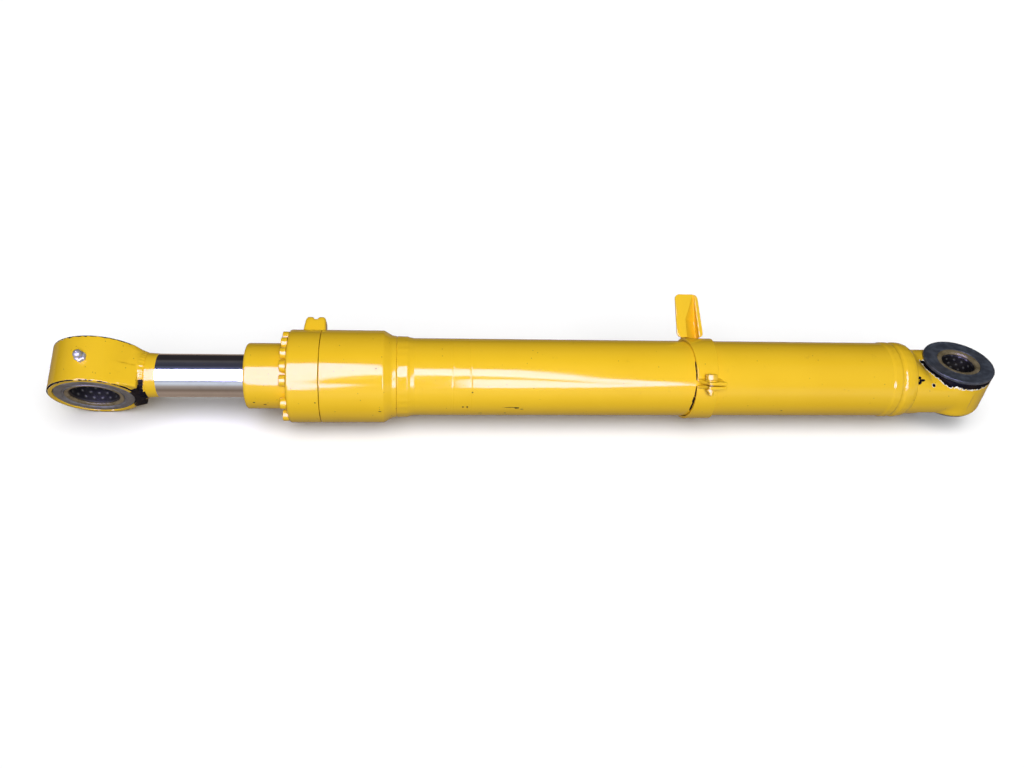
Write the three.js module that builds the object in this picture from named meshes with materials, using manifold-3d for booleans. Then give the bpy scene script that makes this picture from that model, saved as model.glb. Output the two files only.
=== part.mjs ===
// Double-acting hydraulic cylinder with a pin eye at each end, in millimetres with +Z up.
// X runs along the cylinder from the rod eye to the base eye, and Y points to the back.
// Angles about the cylinder axis start at the front (-Y), and 90 degrees is straight up.
import * as THREE from "three";
import { mergeVertices } from "three/addons/utils/BufferGeometryUtils.js";
import Module from "manifold-3d";

const wasm = await Module();
wasm.setup();

// Driving dimensions of the cylinder.
const BORE_RADIUS = 70;
const TUBE_RADIUS = 82.5;
const ROD_RADIUS = 45;
const FLANGE_RADIUS = 98;
const BOSS_RADIUS = 69;
const FIT_GAP = 0.3;
const SPIN_GAP = 0.5;
const ROUND_SIDES = 32;
const SMALL_SIDES = 12;

// Stations along X.
const ROD_PIN_X = -930.6;
const ROD_END_X = -836;
const BOSS_FRONT_X = -628.7;
const FLANGE_FRONT_X = -540.5;
const HEAD_SEAM_X = -475;
const HEAD_INNER_X = -405;
const COLLAR_END_X = -345;
const COLLAR_WELD_X = -318;
const BAND_CENTRE_X = 339.5;
const PISTON_FRONT_X = 490;
const PISTON_REAR_X = 600;
const TUBE_END_X = 767;
const BASE_STEP_X = 818;
const BASE_PIN_X = 941.7;

// Eyes, their bushes and dust seals. Each pin axis is turned about the cylinder axis.
const ROD_EYE = {
  radius: 88.5,
  halfWidth: 49,
  pinRadius: 47.5,
  bushHalf: 42,
  sealRadius: 77.6,
  sealDepth: 5.7,
  angle: -28.7,
  nippleAngle: 93,
};
const BASE_EYE = {
  radius: 77.3,
  halfWidth: 53,
  pinRadius: 35.5,
  bushHalf: 38,
  sealRadius: 77.3,
  sealDepth: 7.7,
  lowerSealRadius: 71,
  rampStart: 86,
  rampSlope: 0.72,
  angle: 90,
  nippleAngle: 60,
};
const BUSH_WALL = 11;
const SEAL_LIP_GAP = 1.5;
const NECK = { halfWidth: 43, halfHeight: 50, blendAngle: 52, blendX: 76, throatRadius: 64 };
const NIPPLE = { stemRadius: 5.5, stemLength: 12, hexRadius: 9.5, hexHeight: 9, length: 24 };

// Head: bolts on one circle, with a wider gap left for the oil port.
const BOLT_CIRCLE_RADIUS = 84;
const BOLT_RADIUS = 7.7;
const BOLT_HEAD_RADIUS = 12;
const BOLT_HEAD_HEIGHT = 12.5;
const BOLT_LENGTH = 100;
const BOLT_HOLE_CLEARANCE = 0.7;
const PORT_ANGLE = 142;
const BOLT_OFFSETS = [-145, -110, -90, -70, -50, -30, 30, 50, 70, 90, 110, 145, 180];

// Pockets in the head for the rod's bushing and seals, and the piston's grooves and nut.
const WIPER_POCKET = { end: -616, radius: 54 };
const ROD_SEAL_GROOVE = { start: -600, end: -588, radius: 53.5 };
const BUFFER_GROOVE = { start: -575, end: -566, radius: 52.5 };
const BUSHING_POCKET = { start: -545, radius: 49.6, bushEnd: -470 };
const RING_GROOVE = { start: HEAD_SEAM_X + 15, end: HEAD_SEAM_X + 21.5, radius: 66.4 };
const WEAR_GROOVES = [{ start: 500, end: 520 }, { start: 570, end: 590 }];
const WEAR_GROOVE_RADIUS = 65.5;
const PISTON_SEAL_GROOVE = { start: 538, end: 552, radius: 60 };
const PISTON_NUT = { end: 640, radius: 52, screwX: 622, screwRadius: 4 };
const ROD_STEP = { seatRadius: 36, threadRadius: 32, end: 650 };

// Oil ports, clamp and pipe bracket.
const HEAD_PORT = { top: 127, width: 49, depth: 48, centreX: -491.5, boreRadius: 12 };
const BASE_PORT = { angle: 184, radius: 23, top: 118, centreX: 786, boreRadius: 10 };
const BAND = { inner: 83.2, outer: 88.5, halfWidth: 33, angle: 31 };
const EAR = { thickness: 6.5, reach: 127, left: -17, right: 31, halfGap: 1.2, boltRadial: 107 };
const CLAMP_SCREW = {
  radius: 5,
  headRadius: 11.5,
  headHeight: 11,
  nutRadius: 10.5,
  nutHeight: 7,
  washerRadius: 13,
};
const BRACKET = {
  angle: 136,
  top: 187,
  thickness: 6,
  halfWidth: 28,
  front: -16,
  back: 20,
  step: -9,
  lean: 7,
};
const BRACKET_TOP_SHARE = 0.86;
const BRACKET_X = BAND_CENTRE_X - 9;

// Colour, roughness and metalness of each finish.
const FINISHES = {
  paint: [0xe8b923, 0.3, 0.0],
  chrome: [0xc9cdd2, 0.08, 1.0],
  steel: [0x8d9094, 0.35, 1.0],
  dark_steel: [0x3c3f42, 0.45, 0.9],
  zinc: [0xc4c7ca, 0.3, 1.0],
  bronze: [0x8a6a35, 0.4, 1.0],
  slate_polymer: [0x454c58, 0.45, 0.0],
  rubber: [0x1d1d1f, 0.7, 0.0],
  polymer: [0x2f5f4a, 0.5, 0.0],
};

const part = new THREE.Group();

// ---- Shapes ----

// Solid of revolution about X. Corners are [x, radius], outer side first, running to +X.
function turned(corners, sides = ROUND_SIDES) {
  const outline = corners.map(([x, radius]) => new THREE.Vector2(radius, x));
  if (outline[0].x > 0) outline.push(outline[0].clone());
  const lathe = new THREE.LatheGeometry(outline, sides, Math.PI / sides);
  return lathe.rotateZ(-Math.PI / 2);
}

// Plain ring about X.
function ring(startX, endX, innerRadius, outerRadius, sides = ROUND_SIDES) {
  return turned(
    [[startX, innerRadius], [startX, outerRadius], [endX, outerRadius], [endX, innerRadius]],
    sides,
  );
}

// Bar along Z between two heights.
function bar(radius, lowZ, highZ, sides = ROUND_SIDES) {
  const cylinder = new THREE.CylinderGeometry(radius, radius, highZ - lowZ, sides);
  cylinder.rotateX(Math.PI / 2);
  return cylinder.translate(0, 0, (lowZ + highZ) / 2);
}

// Ring about Z between two heights.
function ringAlongZ(innerRadius, outerRadius, lowZ, highZ, sides = ROUND_SIDES) {
  return ring(lowZ, highZ, innerRadius, outerRadius, sides).rotateY(-Math.PI / 2);
}

function block(low, high) {
  const size = high.map((value, axis) => value - low[axis]);
  const box = new THREE.BoxGeometry(...size);
  return box.translate(...high.map((value, axis) => (value + low[axis]) / 2));
}

// Turns a shape whose outward direction is +Z to an angle about the cylinder axis.
function facing(geometry, angle) {
  return geometry.rotateX(THREE.MathUtils.degToRad(90 - angle));
}

function toSolid(geometry) {
  const bare = new THREE.BufferGeometry();
  bare.setAttribute("position", geometry.getAttribute("position"));
  bare.setIndex(geometry.index);
  const merged = mergeVertices(bare, 1e-3);
  return new wasm.Manifold(
    new wasm.Mesh({
      numProp: 3,
      vertProperties: new Float32Array(merged.attributes.position.array),
      triVerts: new Uint32Array(merged.index.array),
    }),
  );
}

function toGeometry(solid) {
  const mesh = solid.getMesh();
  const geometry = new THREE.BufferGeometry();
  geometry.setAttribute("position", new THREE.BufferAttribute(mesh.vertProperties, 3));
  geometry.setIndex(new THREE.BufferAttribute(mesh.triVerts, 1));
  geometry.computeVertexNormals();
  return geometry;
}

function joined(first, ...others) {
  return toGeometry(others.reduce((solid, other) => solid.add(toSolid(other)), toSolid(first)));
}

function cut(body, ...tools) {
  return toGeometry(tools.reduce((solid, tool) => solid.subtract(toSolid(tool)), toSolid(body)));
}

function addPiece(name, geometry, finish, place = {}) {
  const [color, roughness, metalness] = FINISHES[finish];
  const material = new THREE.MeshStandardMaterial({ color, roughness, metalness });
  const mesh = new THREE.Mesh(geometry, material);
  mesh.name = name;
  mesh.position.set(place.x ?? 0, place.y ?? 0, place.z ?? 0);
  part.add(mesh);
}

// ---- Barrel ----

function makeBarrelTube() {
  const tube = turned([
    [COLLAR_WELD_X, BORE_RADIUS],
    [COLLAR_WELD_X, 86],
    [COLLAR_WELD_X + 27, 84.5],
    [COLLAR_WELD_X + 57, TUBE_RADIUS],
    [TUBE_END_X - 10, TUBE_RADIUS],
    [TUBE_END_X - 7, 84.2],
    [TUBE_END_X, 84.2],
    [TUBE_END_X, BORE_RADIUS],
  ]);
  addPiece("barrel_tube", tube, "paint");
}

function boltPlaces() {
  return BOLT_OFFSETS.map((offset) => {
    const angle = THREE.MathUtils.degToRad(PORT_ANGLE + offset);
    return [-BOLT_CIRCLE_RADIUS * Math.cos(angle), BOLT_CIRCLE_RADIUS * Math.sin(angle)];
  });
}

// Bars along X where the head bolts pass.
function boltBars(startX, endX) {
  const radius = BOLT_RADIUS + BOLT_HOLE_CLEARANCE;
  return boltPlaces().map(([y, z]) => {
    const hole = bar(radius, startX, endX, SMALL_SIDES).rotateY(Math.PI / 2);
    return hole.translate(0, y, z);
  });
}

function makeTubeCollar() {
  const collar = turned([
    [HEAD_SEAM_X + FIT_GAP, BORE_RADIUS],
    [HEAD_SEAM_X + FIT_GAP, FLANGE_RADIUS - 1],
    [HEAD_SEAM_X + FIT_GAP + 1, FLANGE_RADIUS],
    [COLLAR_END_X, FLANGE_RADIUS],
    [COLLAR_END_X + 20, 87],
    [COLLAR_WELD_X - FIT_GAP, 86],
    [COLLAR_WELD_X - FIT_GAP, BORE_RADIUS],
  ]);
  const holeEnd = FLANGE_FRONT_X + BOLT_LENGTH + 6;
  addPiece("tube_collar", cut(collar, ...boltBars(HEAD_SEAM_X - 5, holeEnd)), "paint");
}

function makeCylinderHead() {
  const seam = HEAD_SEAM_X;
  const spigot = BORE_RADIUS - 0.4;
  const land = ROD_RADIUS + 1;
  const pocket = ({ start, end, radius }) => [[end, land], [end, radius], [start, radius], [start, land]];
  const body = turned([
    [BOSS_FRONT_X, WIPER_POCKET.radius],
    [BOSS_FRONT_X, BOSS_RADIUS - 7],
    [BOSS_FRONT_X + 3, BOSS_RADIUS - 2],
    [BOSS_FRONT_X + 9, BOSS_RADIUS],
    [FLANGE_FRONT_X - 3, BOSS_RADIUS],
    [FLANGE_FRONT_X, BOSS_RADIUS + 2],
    [FLANGE_FRONT_X, FLANGE_RADIUS - 5],
    [FLANGE_FRONT_X + 1.5, FLANGE_RADIUS - 1.5],
    [FLANGE_FRONT_X + 5, FLANGE_RADIUS],
    [seam, FLANGE_RADIUS],
    [seam, spigot],
    [RING_GROOVE.start, spigot],
    [RING_GROOVE.start, RING_GROOVE.radius],
    [RING_GROOVE.end, RING_GROOVE.radius],
    [RING_GROOVE.end, spigot],
    [HEAD_INNER_X, spigot],
    [HEAD_INNER_X, BUSHING_POCKET.radius],
    [BUSHING_POCKET.start, BUSHING_POCKET.radius],
    [BUSHING_POCKET.start, land],
    ...pocket(BUFFER_GROOVE),
    ...pocket(ROD_SEAL_GROOVE),
    [WIPER_POCKET.end, land],
    [WIPER_POCKET.end, WIPER_POCKET.radius],
  ]);
  const { top, width, depth, centreX, boreRadius } = HEAD_PORT;
  const low = [centreX - width / 2, -depth / 2, 76];
  const high = [centreX + width / 2, depth / 2, top];
  const boss = facing(block(low, high), PORT_ANGLE);
  const collarRoom = ring(seam, seam + 40, 60, FLANGE_RADIUS + 1);
  const drilling = facing(bar(boreRadius, 53, top + 5, SMALL_SIDES), PORT_ANGLE);
  drilling.translate(centreX - 6, 0, 0);
  const oilWay = bar(5.5, centreX - 6, HEAD_INNER_X + 5, 8).rotateY(Math.PI / 2);
  facing(oilWay.translate(0, 0, 58.5), PORT_ANGLE);
  const bossOnly = cut(boss, collarRoom);
  const holes = boltBars(FLANGE_FRONT_X - 5, seam + 5);
  addPiece("cylinder_head", cut(joined(body, bossOnly), drilling, oilWay, ...holes), "paint");
}

function makeHeadBolts() {
  const profile = [
    [-BOLT_HEAD_HEIGHT, 0],
    [-BOLT_HEAD_HEIGHT, BOLT_HEAD_RADIUS],
    [0, BOLT_HEAD_RADIUS],
    [0, BOLT_RADIUS],
    [BOLT_LENGTH, BOLT_RADIUS],
    [BOLT_LENGTH, 0],
  ];
  boltPlaces().forEach(([y, z], index) => {
    const socket = bar(8.1, -BOLT_HEAD_HEIGHT - 1, -7, 6).rotateY(Math.PI / 2);
    const bolt = cut(turned(profile, SMALL_SIDES), socket);
    const name = "head_bolt_" + String(index + 1).padStart(2, "0");
    addPiece(name, bolt, "paint", { x: FLANGE_FRONT_X - FIT_GAP, y, z });
  });
}

function makeHeadSeals() {
  const gap = FIT_GAP;
  const rodFit = ROD_RADIUS + SPIN_GAP;
  const inPocket = ({ start, end, radius }) => ring(start + gap, end - gap, rodFit, radius - 0.4);
  const ringFloor = RING_GROOVE.radius + 0.4;
  const headRing = ring(RING_GROOVE.start + gap, RING_GROOVE.end - gap, ringFloor, BORE_RADIUS - 0.4);
  addPiece("head_o_ring", headRing, "rubber");
  const { start, radius, bushEnd } = BUSHING_POCKET;
  addPiece("rod_bushing", ring(start + gap, bushEnd, rodFit, radius - 0.4), "bronze");
  addPiece("buffer_seal", inPocket(BUFFER_GROOVE), "polymer");
  addPiece("rod_seal", inPocket(ROD_SEAL_GROOVE), "polymer");
  const wiperFront = BOSS_FRONT_X + 4;
  const pocketFit = WIPER_POCKET.radius - 0.4;
  addPiece("dust_wiper", ring(wiperFront, WIPER_POCKET.end - gap, rodFit, pocketFit), "rubber");
  const retainer = ring(BOSS_FRONT_X + 0.5, wiperFront - gap, rodFit + 4.5, pocketFit);
  addPiece("wiper_retaining_ring", retainer, "dark_steel");
}

// ---- Base end ----

function makeBaseEye() {
  const start = TUBE_END_X + FIT_GAP;
  const plugFront = start - 19;
  const cushionFloor = 800;
  const cushionRadius = 56;
  const stubRadius = 78;
  const casting = turned([
    [plugFront, cushionRadius],
    [plugFront, BORE_RADIUS - 0.5],
    [start, BORE_RADIUS - 0.5],
    [start, 84.2],
    [start + 5, 84.2],
    [start + 9, 82.2],
    [start + 15, 82.2],
    [start + 19, 84.2],
    [start + 29, 84.2],
    [start + 40, 83],
    [BASE_STEP_X - 3, 81],
    [BASE_STEP_X, stubRadius],
    [BASE_PIN_X, stubRadius],
    [BASE_PIN_X, 0],
    [cushionFloor, 0],
    [cushionFloor, cushionRadius],
  ]);
  const faceZ = BASE_EYE.halfWidth - BASE_EYE.sealDepth - FIT_GAP;
  const spotFace = BASE_EYE.radius + 3;
  const eye = bar(BASE_EYE.radius, -BASE_EYE.halfWidth, faceZ).translate(BASE_PIN_X, 0, 0);
  const lowerSeat = bar(BASE_EYE.lowerSealRadius + 2 * FIT_GAP, -BASE_EYE.halfWidth - 5, -faceZ);
  lowerSeat.translate(BASE_PIN_X, 0, 0);
  const stub = cut(casting, ...flatteners(faceZ, spotFace));
  const boreFit = BASE_EYE.pinRadius + BUSH_WALL + FIT_GAP;
  const bore = bar(boreFit, -110, 110).translate(BASE_PIN_X, 0, 0);
  const { angle, centreX, boreRadius } = BASE_PORT;
  const drilling = facing(bar(boreRadius, 45, 100, SMALL_SIDES), angle).translate(centreX, 0, 0);
  const nippleSeat = nippleHole(BASE_EYE, BASE_PIN_X);
  const lug = cut(eye, lowerSeat);
  addPiece("base_eye", cut(joined(stub, lug), bore, drilling, nippleSeat), "paint");
}

// Shapes that cut the round stub down to the eye's thickness: discs, flats, slopes and the far side.
function flatteners(faceZ, discRadius) {
  const { rampStart, rampSlope } = BASE_EYE;
  const startX = BASE_PIN_X - rampStart;
  const tilt = Math.atan(rampSlope);
  const shapes = [block([BASE_PIN_X, -100, -100], [BASE_PIN_X + 9, 100, 100])];
  for (const side of [1, -1]) {
    const near = [side * faceZ, side * 100].sort((a, b) => a - b);
    const lift = [0, side * 90].sort((a, b) => a - b);
    shapes.push(bar(discRadius, near[0], near[1]).translate(BASE_PIN_X, 0, 0));
    shapes.push(block([startX, -100, near[0]], [BASE_PIN_X + 9, 100, near[1]]));
    const slope = block([-80, -100, lift[0]], [0, 100, lift[1]]).rotateY(side * tilt);
    shapes.push(slope.translate(startX, 0, side * faceZ));
  }
  return shapes;
}

function makeBasePort() {
  const { angle, radius, top, centreX, boreRadius } = BASE_PORT;
  const boss = facing(ringAlongZ(boreRadius, radius, 70, top, 24), angle).translate(centreX, 0, 0);
  const seat = turned([
    [centreX - 40, 0],
    [centreX - 40, 84.6],
    [centreX + 40, 84.6],
    [centreX + 40, 0],
  ]);
  addPiece("base_port_boss", cut(boss, seat), "paint");
}

// Bush and two dust seals of one eye, built along Z and turned with the eye.
function makeEyeLining(prefix, eye, pinX) {
  const place = { x: pinX };
  const { pinRadius, bushHalf, sealRadius, halfWidth } = eye;
  const bush = ringAlongZ(pinRadius, pinRadius + BUSH_WALL, -bushHalf, bushHalf);
  addPiece(prefix + "_bush", facing(bush, eye.angle), "dark_steel", place);
  const lip = pinRadius + SEAL_LIP_GAP;
  const sealStart = halfWidth - eye.sealDepth;
  const upper = ringAlongZ(lip, sealRadius, sealStart, halfWidth);
  addPiece(prefix + "_dust_seal_a", facing(upper, eye.angle), "slate_polymer", place);
  const lower = ringAlongZ(lip, eye.lowerSealRadius ?? sealRadius, -halfWidth, -sealStart);
  addPiece(prefix + "_dust_seal_b", facing(lower, eye.angle), "slate_polymer", place);
}

// Grease nipple on the round side of an eye: hexagon, neck and ball, with a threaded stem.
function makeNipple(name, eye, pinX) {
  const { stemRadius, stemLength, hexRadius, hexHeight, length } = NIPPLE;
  const ballRadius = 8;
  const profile = [
    [-stemLength, 0],
    [-stemLength, stemRadius],
    [FIT_GAP, stemRadius],
    [FIT_GAP, hexRadius],
    [hexHeight, hexRadius],
    [hexHeight + 1, stemRadius],
    [hexHeight + 4, stemRadius],
    [hexHeight + 6, ballRadius],
    [length - 3, ballRadius - 0.5],
    [length, ballRadius / 2],
    [length, 0],
  ];
  const nipple = turned(profile, SMALL_SIDES).translate(eye.radius, 0, 0);
  nipple.rotateZ(THREE.MathUtils.degToRad(eye.nippleAngle));
  addPiece(name, facing(nipple, eye.angle), "zinc", { x: pinX });
}

function nippleHole(eye, pinX) {
  const depth = eye.radius - NIPPLE.stemLength - 1;
  const hole = bar(NIPPLE.stemRadius + FIT_GAP, depth, eye.radius + 20, SMALL_SIDES).rotateY(Math.PI / 2);
  hole.rotateZ(THREE.MathUtils.degToRad(eye.nippleAngle));
  return facing(hole, eye.angle).translate(pinX, 0, 0);
}

// ---- Clamp with pipe bracket ----

function makeClamp() {
  const { inner, outer, halfWidth, angle } = BAND;
  const { thickness, reach, halfGap, boltRadial } = EAR;
  const hoop = ring(-halfWidth, halfWidth, inner, outer);
  const split = block([-60, -halfGap, 60], [60, halfGap, 120]);
  const ears = [1, -1].map((side) => {
    const ends = [side * halfGap, side * (halfGap + thickness)].sort((a, b) => a - b);
    return block([EAR.left, ends[0], inner + 1], [EAR.right, ends[1], reach]);
  });
  const { radius, headRadius, headHeight, nutRadius, nutHeight, washerRadius } = CLAMP_SCREW;
  const hole = bar(radius + 0.5, -20, 20, SMALL_SIDES).rotateX(Math.PI / 2).translate(0, 0, boltRadial);
  const opened = cut(facing(hoop, 90), split);
  const band = facing(cut(joined(opened, ...ears), hole), angle);
  addPiece("clamp_band", band, "paint", { x: BAND_CENTRE_X });

  const outside = halfGap + thickness + FIT_GAP;
  const place = { x: BAND_CENTRE_X };
  const across = (shape) => facing(shape.rotateX(-Math.PI / 2).translate(0, 0, boltRadial), angle);
  const headStart = outside + 3.3;
  const shank = bar(radius, -outside - 14, headStart + 0.1, SMALL_SIDES);
  const boltHead = bar(headRadius, headStart, headStart + headHeight, 6);
  addPiece("clamp_bolt", across(joined(boltHead, shank)), "paint", place);
  const washer = ringAlongZ(radius + 0.6, washerRadius, outside, outside + 3, 20);
  addPiece("clamp_washer", across(washer), "paint", place);
  const nut = cut(bar(nutRadius, -outside - nutHeight, -outside, 6), bar(radius + 0.5, -30, 0, SMALL_SIDES));
  addPiece("clamp_nut", across(nut), "paint", place);
}

// Bent plate that stands on the band: flange, step back, web and return flange.
function makePipeBracket() {
  const { angle, top, thickness, halfWidth, front, back, step, lean } = BRACKET;
  const low = BAND.outer + 0.8;
  const corners = [
    [-halfWidth, front],
    [step + thickness, front],
    [step + thickness, back - thickness],
    [halfWidth - thickness, back - thickness],
    [halfWidth - thickness, front],
    [halfWidth, front],
    [halfWidth, back],
    [step, back],
    [step, front + thickness],
    [-halfWidth, front + thickness],
  ];
  const outline = new THREE.Shape(corners.map(([x, y]) => new THREE.Vector2(x, y)));
  const start = 78;
  const height = top - start;
  const bent = new THREE.ExtrudeGeometry(outline, { depth: height, bevelEnabled: false });
  const position = bent.getAttribute("position");
  for (let index = 0; index < position.count; index++) {
    const share = position.getZ(index) / height;
    const narrowed = position.getX(index) * (1 - (1 - BRACKET_TOP_SHARE) * share);
    position.setX(index, narrowed - lean * share);
  }
  const upright = bent.translate(0, 0, start);
  const seat = bar(low, -60, 60).rotateY(Math.PI / 2);
  const bracket = facing(cut(upright, seat), angle);
  addPiece("pipe_bracket", bracket, "paint", { x: BRACKET_X });
}

// ---- Rod assembly ----

function makePistonRod() {
  const rod = turned([
    [ROD_END_X + FIT_GAP, 0],
    [ROD_END_X + FIT_GAP, ROD_RADIUS],
    [PISTON_FRONT_X - FIT_GAP, ROD_RADIUS],
    [PISTON_FRONT_X - FIT_GAP, ROD_STEP.seatRadius],
    [PISTON_REAR_X, ROD_STEP.seatRadius],
    [PISTON_REAR_X, ROD_STEP.threadRadius],
    [ROD_STEP.end, ROD_STEP.threadRadius],
    [ROD_STEP.end, 0],
  ]);
  addPiece("piston_rod", rod, "chrome");
}

function makePiston() {
  const land = BORE_RADIUS - 1;
  const bore = ROD_STEP.seatRadius + FIT_GAP;
  const groove = ({ start, end }, radius) => [[start, land], [start, radius], [end, radius], [end, land]];
  const piston = turned([
    [PISTON_FRONT_X, bore],
    [PISTON_FRONT_X, land],
    ...groove(WEAR_GROOVES[0], WEAR_GROOVE_RADIUS),
    ...groove(PISTON_SEAL_GROOVE, PISTON_SEAL_GROOVE.radius),
    ...groove(WEAR_GROOVES[1], WEAR_GROOVE_RADIUS),
    [PISTON_REAR_X, land],
    [PISTON_REAR_X, bore],
  ]);
  addPiece("piston", piston, "steel");
  const { end, radius, screwX, screwRadius } = PISTON_NUT;
  const nut = bar(radius, PISTON_REAR_X + FIT_GAP, end, 6).rotateY(Math.PI / 2);
  const nutBore = bar(ROD_STEP.threadRadius + 0.4, PISTON_REAR_X - 10, end + 20).rotateY(Math.PI / 2);
  const screwHole = bar(screwRadius + FIT_GAP, 30, 60, 8).translate(screwX, 0, 0);
  addPiece("piston_nut", cut(nut, nutBore, screwHole), "dark_steel");
  const screw = bar(screwRadius, ROD_STEP.threadRadius + 1, 44.6, 8);
  addPiece("piston_lock_screw", screw, "dark_steel", { x: screwX });
}

function makePistonRings() {
  const outer = BORE_RADIUS - 0.4;
  const gap = FIT_GAP;
  const fitted = ({ start, end }, floor) => ring(start + gap, end - gap, floor + 0.6, outer);
  addPiece("piston_seal", fitted(PISTON_SEAL_GROOVE, PISTON_SEAL_GROOVE.radius), "polymer");
  addPiece("wear_ring_front", fitted(WEAR_GROOVES[0], WEAR_GROOVE_RADIUS), "bronze");
  addPiece("wear_ring_rear", fitted(WEAR_GROOVES[1], WEAR_GROOVE_RADIUS), "bronze");
}

// Side outline of the rod eye: a disc that blends into the neck.
function rodEyeOutline() {
  const { halfHeight, blendAngle, blendX } = NECK;
  const neckEnd = ROD_END_X - ROD_PIN_X;
  const inset = ROD_EYE.radius - 1;
  const leave = THREE.MathUtils.degToRad(blendAngle);
  const [leaveX, leaveY] = [inset * Math.cos(leave), inset * Math.sin(leave)];
  const outline = new THREE.Shape();
  outline.moveTo(neckEnd, -halfHeight);
  outline.lineTo(neckEnd, halfHeight);
  outline.quadraticCurveTo(blendX, halfHeight + 2, leaveX, leaveY);
  outline.absarc(0, 0, inset, leave, 2 * Math.PI - leave, false);
  outline.quadraticCurveTo(blendX, -halfHeight - 2, neckEnd, -halfHeight);
  return outline;
}

function makeRodEye() {
  const { radius, halfWidth, angle, pinRadius, sealDepth } = ROD_EYE;
  const neck = new THREE.ExtrudeGeometry(rodEyeOutline(), {
    depth: 2 * NECK.halfWidth,
    bevelEnabled: false,
    curveSegments: 8,
  });
  neck.translate(0, 0, -NECK.halfWidth);
  const eye = bar(radius, -halfWidth, halfWidth);
  const bore = bar(pinRadius + BUSH_WALL + FIT_GAP, -70, 70);
  const recess = ROD_EYE.sealRadius + 0.4;
  const floor = halfWidth - sealDepth - FIT_GAP;
  const seatA = bar(recess, floor, 70);
  const seatB = bar(recess, -70, -floor);
  const casting = facing(cut(joined(neck, eye), bore, seatA, seatB), angle);
  const placed = casting.translate(ROD_PIN_X, 0, 0);
  const throat = ring(ROD_END_X - 18, ROD_END_X + 50, NECK.throatRadius, 120);
  addPiece("rod_eye", cut(placed, throat, nippleHole(ROD_EYE, ROD_PIN_X)), "paint");
}

// ---- Assembly ----

makeBarrelTube();
makeTubeCollar();
makeCylinderHead();
makeHeadBolts();
makeHeadSeals();
makeBaseEye();
makeBasePort();
makeEyeLining("base", BASE_EYE, BASE_PIN_X);
makeNipple("base_grease_nipple", BASE_EYE, BASE_PIN_X);
makeClamp();
makePipeBracket();
makePistonRod();
makePiston();
makePistonRings();
makeRodEye();
makeEyeLining("rod", ROD_EYE, ROD_PIN_X);
makeNipple("rod_grease_nipple", ROD_EYE, ROD_PIN_X);

// The origin is the middle of the part's footprint, at the height of its lowest point.
part.updateMatrixWorld(true);
const extent = new THREE.Box3().setFromObject(part, true);
const centre = extent.getCenter(new THREE.Vector3());
part.children.forEach((mesh) => mesh.position.sub(new THREE.Vector3(centre.x, centre.y, extent.min.z)));

export default part;
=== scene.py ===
"""Looks of the hydraulic cylinder: smooth castings, turned skins, paint, chrome and studio light.

Lengths below are millimetres about the cylinder's own axis: X runs from the rod eye to the base eye.
Angles about that axis start at the front (-Y), and 90 degrees is straight up.
"""

import math

import bmesh
import bpy
import numpy as np
from mathutils import Matrix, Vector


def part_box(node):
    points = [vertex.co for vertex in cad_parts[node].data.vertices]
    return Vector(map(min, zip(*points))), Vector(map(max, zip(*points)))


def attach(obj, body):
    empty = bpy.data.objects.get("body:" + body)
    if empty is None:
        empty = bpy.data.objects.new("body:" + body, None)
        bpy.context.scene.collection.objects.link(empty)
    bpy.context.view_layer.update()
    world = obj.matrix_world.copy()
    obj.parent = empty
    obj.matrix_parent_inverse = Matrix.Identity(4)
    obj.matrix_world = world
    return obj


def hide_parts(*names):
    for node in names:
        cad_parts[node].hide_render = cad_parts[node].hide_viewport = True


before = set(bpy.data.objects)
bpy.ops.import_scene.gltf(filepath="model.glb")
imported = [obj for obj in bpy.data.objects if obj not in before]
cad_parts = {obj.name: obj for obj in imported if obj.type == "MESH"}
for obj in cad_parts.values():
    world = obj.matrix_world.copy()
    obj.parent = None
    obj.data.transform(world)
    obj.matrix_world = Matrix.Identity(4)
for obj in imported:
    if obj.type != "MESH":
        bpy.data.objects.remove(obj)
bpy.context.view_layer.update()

MM = 0.001

# Stations along X and the radii that the turned parts share.
ROD_PIN_X = -930.6
ROD_END_X = -836
ROD_COLLAR_END_X = -806
BOSS_FRONT_X = -628.7
FLANGE_FRONT_X = -540.5
HEAD_SEAM_X = -475
COLLAR_SHOULDER_X = -345
COLLAR_WELD_X = -318
BAND_CENTRE_X = 339.5
TUBE_END_X = 767
BASE_STEP_X = 818
BASE_PIN_X = 941.7
BORE_RADIUS = 70
TUBE_RADIUS = 82.5
ROD_RADIUS = 45
FLANGE_RADIUS = 98
BOSS_RADIUS = 69
STUB_RADIUS = 78

# Eyes: the pin axis of each is turned about the cylinder axis.
ROD_EYE = {
    "x": ROD_PIN_X, "angle": -28.7, "radius": 88.5, "half": 49, "pin": 47.5, "seal": 77.6, "nipple": 93
}
BASE_EYE = {"x": BASE_PIN_X, "angle": 90, "radius": 77.3, "half": 53, "pin": 35.5, "seal": 77.3, "nipple": 60}
BUSH_WALL = 11

# Head bolts, ports, clamp and pipe bracket.
BOLT_CIRCLE = 84
PORT_ANGLE = 142
BOLT_OFFSETS = [-145, -110, -90, -70, -50, -30, 30, 50, 70, 90, 110, 145, 180]
HEAD_PORT = {"x": -491.5, "top": 127, "half_x": 24.5, "half_round": 24, "bore": 12}
BASE_PORT = {"x": 786, "angle": 184, "radius": 23, "top": 118, "bore": 10}
BAND = {"inner": 83.2, "outer": 88.5, "angle": 31}
EAR = {"thickness": 6.5, "reach": 126.8, "left": -11, "right": 28.5, "half_gap": 1.2, "bolt": 107}
SCREW = {"radius": 5, "head": 12.4, "head_height": 11, "nut": 10.5, "nut_height": 7, "washer": 13}
BRACKET = {"angle": 136, "x": BAND_CENTRE_X - 13.5, "lean": 7, "front": -16, "back": 19.5, "wall": 5.5}

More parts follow.
